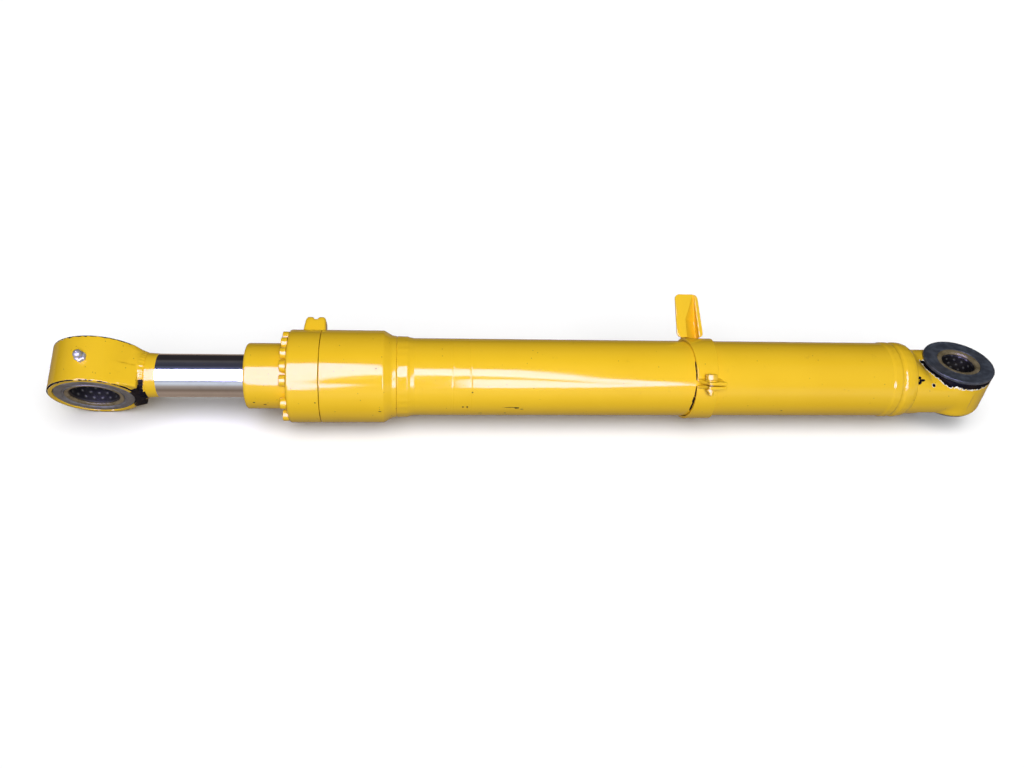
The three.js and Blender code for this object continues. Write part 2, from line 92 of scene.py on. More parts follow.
# Camera: its height angle, its distance from the axis and its place along X.
CAMERA_HEIGHT_ANGLE = 38.92
LENS_MM = 31.31

# ---- Where things are ----

tube_low, tube_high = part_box("barrel_tube")
AXIS_POINT = np.array(
    [
        tube_low.x - COLLAR_WELD_X * MM,
        (tube_low.y + tube_high.y) / 2,
        (tube_low.z + tube_high.z) / 2,
    ]
)
X_WAY = np.array([1.0, 0.0, 0.0])


def toward(angle):
    """The direction that leaves the cylinder axis at an angle in degrees."""
    turn = math.radians(angle)
    return np.array([0.0, -math.cos(turn), math.sin(turn)])


class Axes:
    """A local set of axes: an origin and three unit directions, in millimetres about the cylinder."""

    def __init__(self, origin, first, second, third):
        self.origin = np.array(origin, float)
        self.ways = np.array([first, second, third], float)

    def place(self, points):
        return self.origin + np.asarray(points, float) @ self.ways


def eye_axes(eye):
    """First axis along X, second round the eye, third along the pin."""
    return Axes([eye["x"], 0, 0], X_WAY, toward(eye["angle"] + 90), toward(eye["angle"]))


def radial_axes(x, angle):
    """First axis along X, second round the cylinder, third outward at the angle."""
    return Axes([x, 0, 0], X_WAY, toward(angle + 90), toward(angle))


LATHE = Axes([0, 0, 0], toward(0), toward(90), X_WAY)


# ---- Mesh making ----


def rounded(corners, closed=True, steps=5, hold=0.7):
    """Outline through (along, across, fillet) corners, with arcs and a holding point beside each arc."""
    count = len(corners)
    spots = np.array([corner[:2] for corner in corners], float)
    outline = []
    for index in range(count):
        fillet = corners[index][2] if len(corners[index]) > 2 else 0
        at_end = not closed and index in (0, count - 1)
        if fillet <= 0 or at_end:
            outline.append(spots[index])
            continue
        back = spots[index - 1] - spots[index]
        ahead = spots[(index + 1) % count] - spots[index]
        back_length, ahead_length = np.linalg.norm(back), np.linalg.norm(ahead)
        back, ahead = back / back_length, ahead / ahead_length
        turn = math.pi - math.acos(np.clip(back @ ahead, -1, 1))
        reach = min(fillet * math.tan(turn / 2), 0.46 * back_length, 0.46 * ahead_length)
        start, end = spots[index] + reach * back, spots[index] + reach * ahead
        if back_length > 2 * (reach + hold):
            outline.append(start + hold * back)
        for share in np.linspace(0, 1, steps + 1):
            outline.append(
                (1 - share) ** 2 * start + 2 * share * (1 - share) * spots[index] + share**2 * end
            )
        if ahead_length > 2 * (reach + hold):
            outline.append(end + hold * ahead)
    return np.array(outline)


def lathe(outline, axes, sides=160, closed=True, wobble=None):
    """Turned skin about the third axis, through (along, radius) points."""
    outline = np.asarray(outline, float)
    turns = np.linspace(0, 2 * math.pi, sides, endpoint=False)
    along = np.repeat(outline[:, :1], sides, 1)
    radius = np.repeat(outline[:, 1:2], sides, 1)
    if wobble is not None:
        radius = radius + wobble(along, turns[None, :])
    points = np.stack([radius * np.cos(turns), radius * np.sin(turns), along], -1)
    rows = len(outline)
    row = np.arange(rows if closed else rows - 1)[:, None]
    side = np.arange(sides)[None, :]
    after_row, after_side = (row + 1) % rows, (side + 1) % sides
    near, far = row * sides, after_row * sides
    quad = (near + side, far + side, far + after_side, near + after_side)
    faces = np.stack(np.broadcast_arrays(*quad), -1)
    return axes.place(points.reshape(-1, 3)), faces.reshape(-1, 4)


def loft(rings, axes):
    """Closed skin through rings of equal length, capped flat at both ends."""
    rings = np.asarray(rings, float)
    count, around = rings.shape[:2]
    faces = []
    for layer in range(count - 1):
        for side in range(around):
            after = (side + 1) % around
            faces.append(
                [
                    layer * around + side,
                    layer * around + after,
                    (layer + 1) * around + after,
                    (layer + 1) * around + side,
                ]
            )
    faces.append(list(range(around))[::-1])
    faces.append([(count - 1) * around + side for side in range(around)])
    return axes.place(rings.reshape(-1, 3)), faces


def smooth_min(first, second, width):
    share = np.clip(0.5 + 0.5 * (second - first) / width, 0, 1)
    return second * (1 - share) + first * share - width * share * (1 - share)


def smooth_max(first, second, width):
    return -smooth_min(-first, -second, width)


def bar_field(radial, along, radius, half, fillet):
    """Distance to a round bar with filleted rims."""
    out = np.maximum(radial - radius + fillet, 0)
    over = np.maximum(np.abs(along) - half + fillet, 0)
    inside = np.minimum(np.maximum(radial - radius + fillet, np.abs(along) - half + fillet), 0)
    return np.hypot(out, over) + inside - fillet


def block_field(offsets, halves, fillet):
    """Distance to a block with rounded edges."""
    gaps = [np.abs(offset) - half + fillet for offset, half in zip(offsets, halves)]
    outside = np.sqrt(sum(np.maximum(gap, 0) ** 2 for gap in gaps))
    inside = np.minimum(np.maximum.reduce(gaps), 0)
    return outside + inside - fillet


def crossing_points(value, low, step):
    """Mean crossing point of each cell that the surface passes through, and the cells' numbers."""
    shape = tuple(size - 1 for size in value.shape)
    total = np.zeros(shape + (3,))
    crossings = np.zeros(shape)
    cells = np.stack(np.meshgrid(*[np.arange(size) for size in shape], indexing="ij"), -1)
    for axis in range(3):
        others = [other for other in range(3) if other != axis]
        for shift_a in (0, 1):
            for shift_b in (0, 1):
                start = [0, 0, 0]
                start[others[0]], start[others[1]] = shift_a, shift_b
                end = list(start)
                end[axis] = 1
                first = value[tuple(slice(s, s + n) for s, n in zip(start, shape))]
                last = value[tuple(slice(s, s + n) for s, n in zip(end, shape))]
                crossed = (first < 0) != (last < 0)
                share = np.where(crossed, first / np.where(crossed, first - last, 1), 0)
                spot = cells + np.array(start, float)
                spot[..., axis] += share
                total += spot * crossed[..., None]
                crossings += crossed
    active = crossings > 0
    number = -np.ones(shape, int)
    number[active] = np.arange(active.sum())
    points = np.array(low) + step * total[active] / crossings[active][:, None]
    return points, number


def net_faces(value, number):
    """A quad round each grid edge that the surface crosses."""
    faces = []
    for axis in range(3):
        first, second = (axis + 1) % 3, (axis + 2) % 3
        inside = value < 0
        ahead = np.roll(inside, -1, axis)
        crossed = inside != ahead
        edge = [slice(1, -1)] * 3
        edge[axis] = slice(0, -1)
        spots = np.argwhere(crossed[tuple(edge)])
        spots += np.array([0 if way == axis else 1 for way in range(3)])
        flips = inside[tuple(spots.T)]
        corners = []
        for shift_first, shift_second in ((0, 0), (-1, 0), (-1, -1), (0, -1)):
            cell = spots.copy()
            cell[:, first] += shift_first
            cell[:, second] += shift_second
            corners.append(number[tuple(cell.T)])
        quads = np.stack(corners, -1)
        quads[flips] = quads[flips][:, ::-1]
        faces.append(quads)
    return np.concatenate(faces)


def slope(field, points, reach=0.05):
    """Gradient of a field at each point."""
    steps = reach * np.eye(3)
    parts = [(field(points + step) - field(points - step)) / (2 * reach) for step in steps]
    return np.stack(parts, -1)


def skin(field, low, high, step, axes):
    """Smooth skin of a distance field, from a surface net pulled onto the true surface."""
    ticks = [np.arange(a, b + step, step) for a, b in zip(low, high)]
    grid = np.stack(np.meshgrid(*ticks, indexing="ij"), -1)
    value = field(grid)
    points, number = crossing_points(value, low, step)
    for _ in range(4):
        steepness = slope(field, points)
        squared = np.maximum((steepness**2).sum(-1), 0.2)
        move = (field(points) / squared)[:, None] * steepness
        points = points - np.clip(move, -step / 2, step / 2)
    return axes.place(points), net_faces(value, number), points


def add_piece(name, shape, material, body, nodes=(), sharp=38, attributes=None):
    """Makes the object from points in millimetres about the axis, ties it to its body, and hides the CAD
    parts it replaces.
    """
    points, faces = shape[:2]
    mesh = bpy.data.meshes.new(name)
    mesh.from_pydata((points * MM + AXIS_POINT).tolist(), [], [list(map(int, face)) for face in faces])
    for key, values in (attributes or {}).items():
        layer = mesh.attributes.new(key, "FLOAT", "POINT")
        layer.data.foreach_set("value", np.asarray(values, np.float32))
    work = bmesh.new()
    work.from_mesh(mesh)
    bmesh.ops.remove_doubles(work, verts=work.verts, dist=0.01 * MM)
    bmesh.ops.recalc_face_normals(work, faces=work.faces)
    work.to_mesh(mesh)
    work.free()
    mesh.shade_smooth()
    mesh.set_sharp_from_angle(angle=math.radians(sharp))
    piece = bpy.data.objects.new(name, mesh)
    bpy.context.scene.collection.objects.link(piece)
    mesh.materials.append(material)
    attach(piece, body)
    if nodes:
        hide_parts(*nodes)
    return piece


# ---- Materials ----


class Shade:
    """A node material under construction, with short calls for the nodes used here."""

    def __init__(self, name):
        self.material = bpy.data.materials.new(name)
        self.material.use_nodes = True
        self.tree = self.material.node_tree
        self.surface = self.tree.nodes["Principled BSDF"]
        self.place = self.node("ShaderNodeTexCoord").outputs["Object"]

    def node(self, kind, **settings):
        made = self.tree.nodes.new(kind)
        for key, value in settings.items():
            setattr(made, key, value)
        return made

    def feed(self, socket, value):
        if isinstance(value, bpy.types.NodeSocket):
            self.tree.links.new(value, socket)
        else:
            socket.default_value = value

    def noise(self, scale, detail=3.0, roughness=0.55, stretch=None, distortion=0.0):
        made = self.node("ShaderNodeTexNoise")
        self.feed(made.inputs["Vector"], self.stretched(stretch))
        made.inputs["Scale"].default_value = scale
        made.inputs["Detail"].default_value = detail
        made.inputs["Roughness"].default_value = roughness
        made.inputs["Distortion"].default_value = distortion
        return made.outputs["Fac"]

    def stretched(self, stretch):
        if stretch is None:
            return self.place
        made = self.node("ShaderNodeVectorMath", operation="MULTIPLY")
        self.feed(made.inputs[0], self.place)
        made.inputs[1].default_value = stretch
        return made.outputs[0]

    def cells(self, scale, randomness=1.0):
        made = self.node("ShaderNodeTexVoronoi")
        self.feed(made.inputs["Vector"], self.place)
        made.inputs["Scale"].default_value = scale
        made.inputs["Randomness"].default_value = randomness
        return made.outputs["Distance"], made.outputs["Color"]

    def math(self, operation, first, second=0.0, third=0.0):
        made = self.node("ShaderNodeMath", operation=operation)
        for socket, value in zip(made.inputs, (first, second, third)):
            self.feed(socket, value)
        return made.outputs[0]

    def ramp(self, value, low, high, out_low=0.0, out_high=1.0):
        """Smooth step of a value from low to high."""
        made = self.node("ShaderNodeMapRange", interpolation_type="SMOOTHSTEP")
        for socket, number in zip(made.inputs, (value, low, high, out_low, out_high)):
            self.feed(socket, number)
        return made.outputs[0]

    def mix(self, share, first, second):
        made = self.node("ShaderNodeMix", data_type="RGBA")
        self.feed(made.inputs[0], share)
        self.feed(made.inputs[6], first if isinstance(first, bpy.types.NodeSocket) else (*first, 1))
        self.feed(made.inputs[7], second if isinstance(second, bpy.types.NodeSocket) else (*second, 1))
        return made.outputs[2]

    def attribute(self, name):
        return self.node("ShaderNodeAttribute", attribute_name=name).outputs["Fac"]

    def bump(self, height, strength, distance, under=None):
        made = self.node("ShaderNodeBump")
        made.inputs["Strength"].default_value = strength
        made.inputs["Distance"].default_value = distance
        self.feed(made.inputs["Height"], height)
        if under is not None:
            self.feed(made.inputs["Normal"], under)
        return made.outputs["Normal"]

    def near(self, centre, sizes):
        """Distance from a centre in units of its own half sizes along X, Y and Z."""
        offset = self.node("ShaderNodeVectorMath", operation="SUBTRACT")
        self.feed(offset.inputs[0], self.place)
        offset.inputs[1].default_value = tuple(centre)
        scaled = self.node("ShaderNodeVectorMath", operation="DIVIDE")
        self.feed(scaled.inputs[0], offset.outputs[0])
        scaled.inputs[1].default_value = tuple(sizes)
        length = self.node("ShaderNodeVectorMath", operation="LENGTH")
        self.feed(length.inputs[0], scaled.outputs[0])
        return length.outputs["Value"]

    def red(self, color):
        """Red channel of a colour socket, used as one random value for each cell."""
        made = self.node("ShaderNodeSeparateColor")
        self.feed(made.inputs[0], color)
        return made.outputs[0]

    def finish(self, color, roughness, normal=None, metallic=0.0, specular=0.5, coat=0.0):
        self.feed(self.surface.inputs["Base Color"], color)
        self.feed(self.surface.inputs["Roughness"], roughness)
        self.feed(self.surface.inputs["Metallic"], metallic)
        self.surface.inputs["Specular IOR Level"].default_value = specular
        self.surface.inputs["Coat Weight"].default_value = coat
        if normal is not None:
            self.feed(self.surface.inputs["Normal"], normal)
        return self.material


PAINT_YELLOW = (0.87, 0.545, 0.021)
PAINT_DEEP = (0.76, 0.44, 0.01)
# Dark bare steel of the chips, also used as painted shadow on the tube beside the strap.
BARE_DARK_AND_SHADE = (0.008, 0.009, 0.01)
FLAKE_WHITE = (0.93, 0.92, 0.88)


def spot(x, angle, radius, along, around):
    """A dark paint mark, used for chips and for painted shadow: its centre in metres and its half sizes, from
    its place on the cylinder.
    """
    centre = (np.array([x, 0, 0]) + radius * toward(angle)) * MM + AXIS_POINT
    return centre, (along * MM, around * MM, around * MM)


def paint_material(name, chip_and_shade_spots=(), loops=(), cast=0.0, worn=False, speckle=0.5):
    """Gloss enamel with orange peel, uneven tone, dust specks, and chips down to dark steel; some dark marks
    given to it are painted shadow.
    """
    shade = Shade(name)
    tone = shade.noise(5.0, 4.0)
    grime = shade.noise(38.0, 5.0, 0.65)
    color = shade.mix(shade.ramp(tone, 0.35, 0.75), PAINT_YELLOW, PAINT_DEEP)
    color = shade.mix(0.72, color, PAINT_YELLOW)
    color = shade.mix(shade.ramp(grime, 0.62, 0.85, 0.0, 0.35), color, (0.42, 0.22, 0.02))
    distance, cell_tint = shade.cells(210.0)
    keep = shade.math("GREATER_THAN", shade.red(cell_tint), 1 - 0.03 * speckle)
    speck = shade.math("MULTIPLY", shade.ramp(distance, 0.16, 0.26, 1.0, 0.0), keep)
    color = shade.mix(shade.math("MULTIPLY", speck, 0.75), color, (0.16, 0.09, 0.02))
    roughness = shade.ramp(grime, 0.3, 0.9, 0.09, 0.16)
    peel = shade.noise(420.0, 2.0)
    dents = shade.noise(30.0 if cast else 9.0, 3.0)
    normal = shade.bump(peel, 0.03, 0.0004)
    normal = shade.bump(dents, 0.06 + cast, 0.0012, normal)
    ragged = shade.noise(230.0, 4.0, 0.7)
    chip_and_shade = None
    if chip_and_shade_spots:
        nearest = None
        for centre, sizes in chip_and_shade_spots:
            away = shade.near(centre, sizes)
            nearest = away if nearest is None else shade.math("MINIMUM", nearest, away)
        edge = shade.math("ADD", nearest, shade.math("MULTIPLY", ragged, 1.1))
        chip_and_shade = shade.ramp(edge, 1.28, 1.4, 1.0, 0.0)
    for centre, sizes in loops:
        off_ring = shade.math("ABSOLUTE", shade.math("SUBTRACT", shade.near(centre, sizes), 1.0))
        solid = shade.ramp(off_ring, 0.5, 0.7, 1.0, 0.0)
        pale = shade.math("MULTIPLY", solid, shade.ramp(ragged, 0.45, 0.55))
        color = shade.mix(pale, color, FLAKE_WHITE)
        ring = shade.ramp(off_ring, 0.3, 0.42, 1.0, 0.0)
        chip_and_shade = ring if chip_and_shade is None else shade.math("MAXIMUM", chip_and_shade, ring)
    if worn:
        coarse = shade.noise(95.0, 4.0, 0.65)
        swing = shade.math("MULTIPLY_ADD", coarse, 1.5, -0.75)
        level = shade.math("ADD", shade.attribute("wear"), swing)
        bare = shade.ramp(level, 0.5, 0.54)
        flake_level = shade.math("ADD", level, shade.math("MULTIPLY", shade.attribute("flake"), 0.34))
        flake = shade.math("MULTIPLY", shade.ramp(flake_level, 0.5, 0.53), shade.ramp(ragged, 0.42, 0.5))
        color = shade.mix(flake, color, FLAKE_WHITE)
        chip_and_shade = bare if chip_and_shade is None else shade.math("MAXIMUM", bare, chip_and_shade)
    # Chip marks show dark bare steel; on the tube the marks along the strap edge are painted shadow.
    if chip_and_shade is not None:
        bare_and_shade_color = shade.mix(shade.ramp(grime, 0.45, 0.7), BARE_DARK_AND_SHADE, (0.024, 0.019, 0.012))
        color = shade.mix(chip_and_shade, color, bare_and_shade_color)
        roughness = shade.ramp(chip_and_shade, 0.0, 1.0, roughness, 0.7)
        normal = shade.bump(shade.math("SUBTRACT", 1.0, chip_and_shade), 0.6, 0.0006, normal)
    return shade.finish(color, roughness, normal, metallic=0.0 if chip_and_shade is None else chip_and_shade)


def chrome_material():
    """Ground hard chrome: fine lines round the rod and a few faint smears."""
    shade = Shade("hard_chrome")
    lines = shade.noise(900.0, 2.0, 0.5, stretch=(1.0, 0.02, 0.02))
    smear = shade.noise(16.0, 4.0, 0.6)
    color = shade.mix(shade.ramp(smear, 0.4, 0.8), (0.72, 0.74, 0.78), (0.62, 0.63, 0.67))
    roughness = shade.ramp(smear, 0.35, 0.8, 0.07, 0.13)
    return shade.finish(color, roughness, shade.bump(lines, 0.05, 0.0002), metallic=1.0)


def metal_material(name, light, dark, rough, grain=300.0, stretch=None, strength=0.12, metallic=0.9):
    """Bare, oiled or plated metal with uneven tone and a grain."""
    shade = Shade(name)
    tone = shade.noise(55.0, 5.0, 0.6)
    lines = shade.noise(grain, 3.0, 0.6, stretch=stretch)
    color = shade.mix(shade.ramp(tone, 0.35, 0.7), light, dark)
    roughness = shade.ramp(lines, 0.2, 0.8, rough * 0.8, rough * 1.25)
    return shade.finish(color, roughness, shade.bump(lines, strength, 0.0004), metallic=metallic)


def bush_material():
    """Dark oiled bush whose grease dimples are painted a lighter grey, a painted highlight where they catch
    the light.
    """
    shade = Shade("dimpled_steel")
    tone = shade.noise(70.0, 4.0)
    color = shade.mix(shade.ramp(tone, 0.35, 0.7), (0.005, 0.005, 0.006), (0.016, 0.015, 0.014))
    dimple_and_highlight = shade.attribute("dimple_and_highlight")
    # Painted highlight: the dimples are coloured a lighter grey where they would catch the light.
    color = shade.mix(shade.math("MULTIPLY", dimple_and_highlight, 0.8), color, (0.12, 0.12, 0.11))
    roughness = shade.ramp(dimple_and_highlight, 0.0, 1.0, 0.42, 0.6)
    return shade.finish(color, roughness, shade.bump(tone, 0.2, 0.0005), metallic=0.0)


def seal_material(name, light, dark, rough):
    """Satin polymer with a faint turned grain, scuffs and grease stains."""
    shade = Shade(name)
    scuff = shade.noise(60.0, 5.0, 0.65)
    stain = shade.noise(14.0, 3.0)
    color = shade.mix(shade.ramp(scuff, 0.35, 0.75), dark, light)
    color = shade.mix(shade.ramp(stain, 0.5, 0.8, 0.0, 0.35), color, (0.07, 0.055, 0.04))
    roughness = shade.ramp(scuff, 0.3, 0.8, rough, rough + 0.15)
    return shade.finish(color, roughness, shade.bump(scuff, 0.15, 0.0003))


def lip_material():
    """Inner lip of the dust seals, brown with old grease."""
    shade = Shade("greased_lip")
    smear = shade.noise(45.0, 5.0, 0.6)
    color = shade.mix(shade.ramp(smear, 0.35, 0.7), (0.14, 0.11, 0.06), (0.25, 0.2, 0.125))
    return shade.finish(color, shade.ramp(smear, 0.3, 0.8, 0.25, 0.42), shade.bump(smear, 0.2, 0.0004))


tube_chips_and_strap_shadow = [
    spot(-161.6, 15.5, TUBE_RADIUS, 2.0, 1.6),
    spot(-89, -28.6, TUBE_RADIUS, 2.5, 1.5),
    spot(-81, -12.3, TUBE_RADIUS, 17, 1.1),
    spot(-66, -13.4, TUBE_RADIUS, 7, 2.8),
    spot(-55, -16.5, TUBE_RADIUS, 4.5, 1.3),
    # Painted shadow: the next five dark marks along the strap's left edge stand in for the shade in the gap
    # under the strap.
    spot(315.6, 43, TUBE_RADIUS, 2.2, 15),
    spot(314.4, 56, TUBE_RADIUS, 1.7, 15),
    spot(315.6, 17, TUBE_RADIUS, 2.6, 17),
    spot(313.9, 2, TUBE_RADIUS, 3.4, 17),
    spot(312.4, -12, TUBE_RADIUS, 2.8, 16),
    spot(-180, -11.4, TUBE_RADIUS, 2.4, 3),
    spot(-171, -11.4, TUBE_RADIUS, 2.2, 3.4),
    spot(-142, -29.5, TUBE_RADIUS, 5, 1.2),
    spot(520, -20, TUBE_RADIUS, 3, 1.4),
]
head_blemishes = [
    spot(-481.7, 4.7, FLANGE_RADIUS, 1.8, 1.8),
    spot(-609, -14.3, BOSS_RADIUS, 3, 2),
    spot(-588, -20.7, BOSS_RADIUS, 4, 2),
    spot(-359, 47.9, FLANGE_RADIUS, 1.8, 1.4),
    spot(-352, -9, FLANGE_RADIUS, 4, 1.6),
    spot(-506, 142, 126.5, 7, 4.5),
]
base_blemishes = [
    spot(827, 37.2, STUB_RADIUS, 10, 3.8),
    spot(821, 40.8, STUB_RADIUS, 5.5, 4.6),
    spot(822, 33.2, STUB_RADIUS, 5.0, 4.8),
    spot(784.4, 22.0, 84.2, 1.6, 3.2),
    spot(814.5, 94.4, 80, 3.4, 3),
    spot(889, 30, STUB_RADIUS, 6, 4.0),
    spot(896, 27, STUB_RADIUS, 7, 3.6),
    spot(906, -50, STUB_RADIUS, 12, 4),
    spot(935, -44, STUB_RADIUS, 9, 4),
    spot(957, -24, STUB_RADIUS, 3, 2),
]

base_loops = [spot(857, 29.5, STUB_RADIUS, 3.6, 3.6)]

paint_tube = paint_material("paint_tube", tube_chips_and_strap_shadow)
paint_head = paint_material("paint_head", head_blemishes, speckle=0.9)
paint_plain = paint_material("paint_fittings")
paint_base = paint_material("paint_base_eye", base_blemishes, base_loops, cast=0.08, worn=True, speckle=0.6)
paint_rod_eye = paint_material("paint_rod_eye", cast=0.22, worn=True, speckle=1.6)
chrome = chrome_material()
bush_steel = bush_material()
seal_slate = seal_material("slate_seal", (0.085, 0.1, 0.13), (0.035, 0.042, 0.058), 0.3)
seal_grey = seal_material("grey_seal", (0.2, 0.2, 0.215), (0.1, 0.1, 0.11), 0.3)
greased_lip = lip_material()
zinc = metal_material("zinc_plate", (0.5, 0.51, 0.53), (0.34, 0.35, 0.37), 0.3, metallic=0.35)
oiled_steel = metal_material("dark_steel", (0.06, 0.062, 0.065), (0.03, 0.03, 0.03), 0.4)
TURNED = {"grain": 800.0, "stretch": (1, 0.03, 0.03)}
turned_steel = metal_material("machined_steel", (0.55, 0.56, 0.58), (0.42, 0.42, 0.44), 0.28, **TURNED)
bronze = metal_material("bearing_bronze", (0.5, 0.33, 0.13), (0.38, 0.24, 0.09), 0.32, **TURNED)
rubber = seal_material("black_rubber", (0.02, 0.02, 0.021), (0.011, 0.011, 0.012), 0.6)
polymer = seal_material("seal_polymer", (0.04, 0.13, 0.08), (0.025, 0.085, 0.055), 0.4)


# ---- Barrel ----


def weld_wobble(along, turns):
    """Uneven bead on the weld between the collar and the tube."""
    bead = np.exp(-(((along - (COLLAR_WELD_X + 14)) / 11) ** 2))
    wave = np.sin(23 * turns + 1.7 * np.sin(5 * turns)) + 0.6 * np.sin(41 * turns + 0.19 * along)
    return bead * (0.45 * wave + 0.25 * np.sin(3 * turns))


TUBE_MARKS = (-201.5, -164)


def make_tube():
    weld = COLLAR_WELD_X
    corners = [
        (weld + 0.1, BORE_RADIUS),
        (weld + 0.1, 85.6, 0.3),
        (weld + 1.6, 86.4, 1),
        (weld + 22, 86.0, 5),
        (weld + 28, 84.0, 5),
        (weld + 36, TUBE_RADIUS, 8),
        (TUBE_END_X - 7, TUBE_RADIUS, 4),
        (TUBE_END_X - 1.5, 84.1, 3),
        (TUBE_END_X - 0.3, 84.2),
        (TUBE_END_X - 0.3, BORE_RADIUS),
    ]
    outline = rounded(corners)
    extra = [np.array([x, TUBE_RADIUS]) for x in np.arange(-140, 740, 60)]
    for mark in TUBE_MARKS:
        for side, dip in ((-3.5, 0), (-1.4, 0), (-0.5, 0.25), (0.5, 0.25), (1.4, 0), (3.5, 0)):
            extra.append(np.array([mark + side, TUBE_RADIUS - dip]))
    extra.sort(key=lambda point: point[0])
    first = next(i for i, point in enumerate(outline) if point[0] > TUBE_MARKS[0] - 4)
    outline = np.concatenate([outline[:first], extra, outline[first:]])
    order = lathe(outline, LATHE, 160, wobble=weld_wobble)
    add_piece("tube_skin", order, paint_tube, "barrel", ["barrel_tube"])


def make_collar():
    seam = HEAD_SEAM_X + 0.9
    corners = [
        (seam, BORE_RADIUS),
        (seam, FLANGE_RADIUS, 1.4),
        (COLLAR_SHOULDER_X, FLANGE_RADIUS, 7),
        (COLLAR_SHOULDER_X + 17, 88, 10),
        (COLLAR_WELD_X - 1.3, 86.5, 1),
        (COLLAR_WELD_X - 0.2, 85.4, 0.3),
        (COLLAR_WELD_X - 0.2, BORE_RADIUS),
    ]
    shape = lathe(rounded(corners), LATHE, 176)
    add_piece("collar_skin", shape, paint_head, "barrel", ["tube_collar"])


def make_head():
    corners = [
        (BOSS_FRONT_X, 54),
        (BOSS_FRONT_X, BOSS_RADIUS, 8.5),
        (FLANGE_FRONT_X, BOSS_RADIUS, 3.5),
        (FLANGE_FRONT_X, FLANGE_RADIUS, 6),
        (HEAD_SEAM_X - 0.3, FLANGE_RADIUS, 1.4),
        (HEAD_SEAM_X - 0.3, BORE_RADIUS - 6),
        (HEAD_SEAM_X - 40, 49.6),
        (BOSS_FRONT_X + 13, 49.6),
        (BOSS_FRONT_X + 13, 54),
    ]
    shape = lathe(rounded(corners), LATHE, 176)
    add_piece("head_skin", shape, paint_head, "barrel", ["cylinder_head"])


def port_field(spots):
    """Boss over the head flange, with two rounded lugs beside the port and a shallow dip between."""
    x, across, out = spots[..., 0], spots[..., 1], spots[..., 2]
    slant = np.where(x < 0, 0.17, 0.03) * np.clip(124 - out, 0, 30)
    inward = x + np.where(x < 0, slant - 4.4, 1.6 - slant)
    draft = 0.16 * np.clip(out - 96, -10, 40)
    half_x, half_round = HEAD_PORT["half_x"] - 1.2, HEAD_PORT["half_round"] - 0.8
    boss = block_field([inward, np.abs(across) + draft, out - 93], [half_x, half_round, 28.5], 5)
    lugs = [
        block_field([inward - side * 14.6, np.abs(across) + draft, out - 104], [8.6, half_round, 22.8], 6.5)
        for side in (-1, 1)
    ]
    whole = smooth_min(boss, smooth_min(*lugs, 3), 2)
    face = np.hypot(x, across) - HEAD_PORT["bore"]
    return smooth_max(whole, -np.maximum(face, 70 - out), 2)


def make_head_port():
    axes = radial_axes(HEAD_PORT["x"], PORT_ANGLE)
    shape = skin(port_field, (-34, -31, 82), (34, 31, 134), 1.8, axes)
    add_piece("head_port_boss", shape, paint_head, "barrel", ["cylinder_head"])


def circle_and_hexagon(turns):
    """A unit circle and the hexagon around it, with a point of each in every given direction."""
    circle = np.stack([np.cos(turns), np.sin(turns)], -1)
    sector = (turns + math.pi / 6) % (math.pi / 3) - math.pi / 6
    hexagon = circle / np.cos(sector)[:, None]
    return circle, hexagon


def bolt_rings():
    """Rings of a painted socket screw head: side, chamfer, face, and the hexagonal socket."""
    around = 48
    turns = np.linspace(0, 2 * math.pi, around, endpoint=False)
    circle, hexagon = circle_and_hexagon(turns)
    layers = [(0, 11.4, circle), (0, 11.9, circle), (-10.4, 12, circle), (-11.6, 11.6, circle)]
    layers += [(-12.3, 10.6, circle), (-12.5, 9.8, circle)]
    layers += [(-12.5, 7.9, hexagon), (-11.8, 7.1, hexagon), (-6, 6.9, hexagon), (-5.4, 2, hexagon)]
    return [np.concatenate([radius * base, np.full((around, 1), x)], 1) for x, radius, base in layers]


def make_head_bolts():
    for index, offset in enumerate(BOLT_OFFSETS, 1):
        centre = BOLT_CIRCLE * toward(PORT_ANGLE + offset) + [FLANGE_FRONT_X - 0.3, 0, 0]
        spin = toward(37 * index)
        axes = Axes(centre, spin, np.cross(spin, X_WAY), X_WAY)
        name = f"head_bolt_{index:02d}"
        add_piece(f"{name}_skin", loft(bolt_rings(), axes), paint_plain, "barrel", [name])


def make_wiper():
    front = BOSS_FRONT_X
    lip = [
        (front + 12.5, 45.6),
        (front + 12.5, 53.4, 0.5),
        (front + 2.5, 53.4, 1),
        (front + 1.2, 50.5, 1),
        (front + 2.2, 46.2, 0.8),
        (front + 4.5, 45.6, 0.5),
    ]
    shape = lathe(rounded(lip), LATHE, 120)
    add_piece("dust_wiper_lip", shape, rubber, "barrel", ["dust_wiper"])
    clip = [
        (front + 0.9, 50.8, 0.3),
        (front + 0.9, 53.7, 0.3),
        (front + 0.2, 53.7, 0.3),
        (front + 0.2, 50.8, 0.3),
    ]
    shape = lathe(rounded(clip), LATHE, 120)
    add_piece("wiper_clip", shape, oiled_steel, "barrel", ["wiper_retaining_ring"])


# ---- Base end ----


def make_base_rings():
    """Weld rings between the tube and the base casting."""
    start = TUBE_END_X - 0.4
    corners = [
        (start, 60),
        (start, 84.18),
        (start + 12, 84.2, 4),
        (start + 17, 81.9, 4),
        (start + 21, 81.9, 4),
        (start + 26, 84.2, 5),
        (start + 33, 84.2, 9),
        (start + 42, 83, 9),
        (BASE_STEP_X - 2, 80.6, 4),
        (BASE_STEP_X + 1.5, STUB_RADIUS - 0.4, 2),
        (BASE_STEP_X + 1.5, 60),
    ]
    ripple = lambda along, turns: 0.12 * np.sin(29 * turns + along / 9)
    shape = lathe(rounded(corners), LATHE, 176, wobble=ripple)
    wear = np.zeros(len(shape[0]))
    layers = {"wear": wear, "flake": wear}
    add_piece("base_weld_rings", shape, paint_base, "barrel", ["base_eye"], attributes=layers)


BASE_LOWER_SEAL = 71


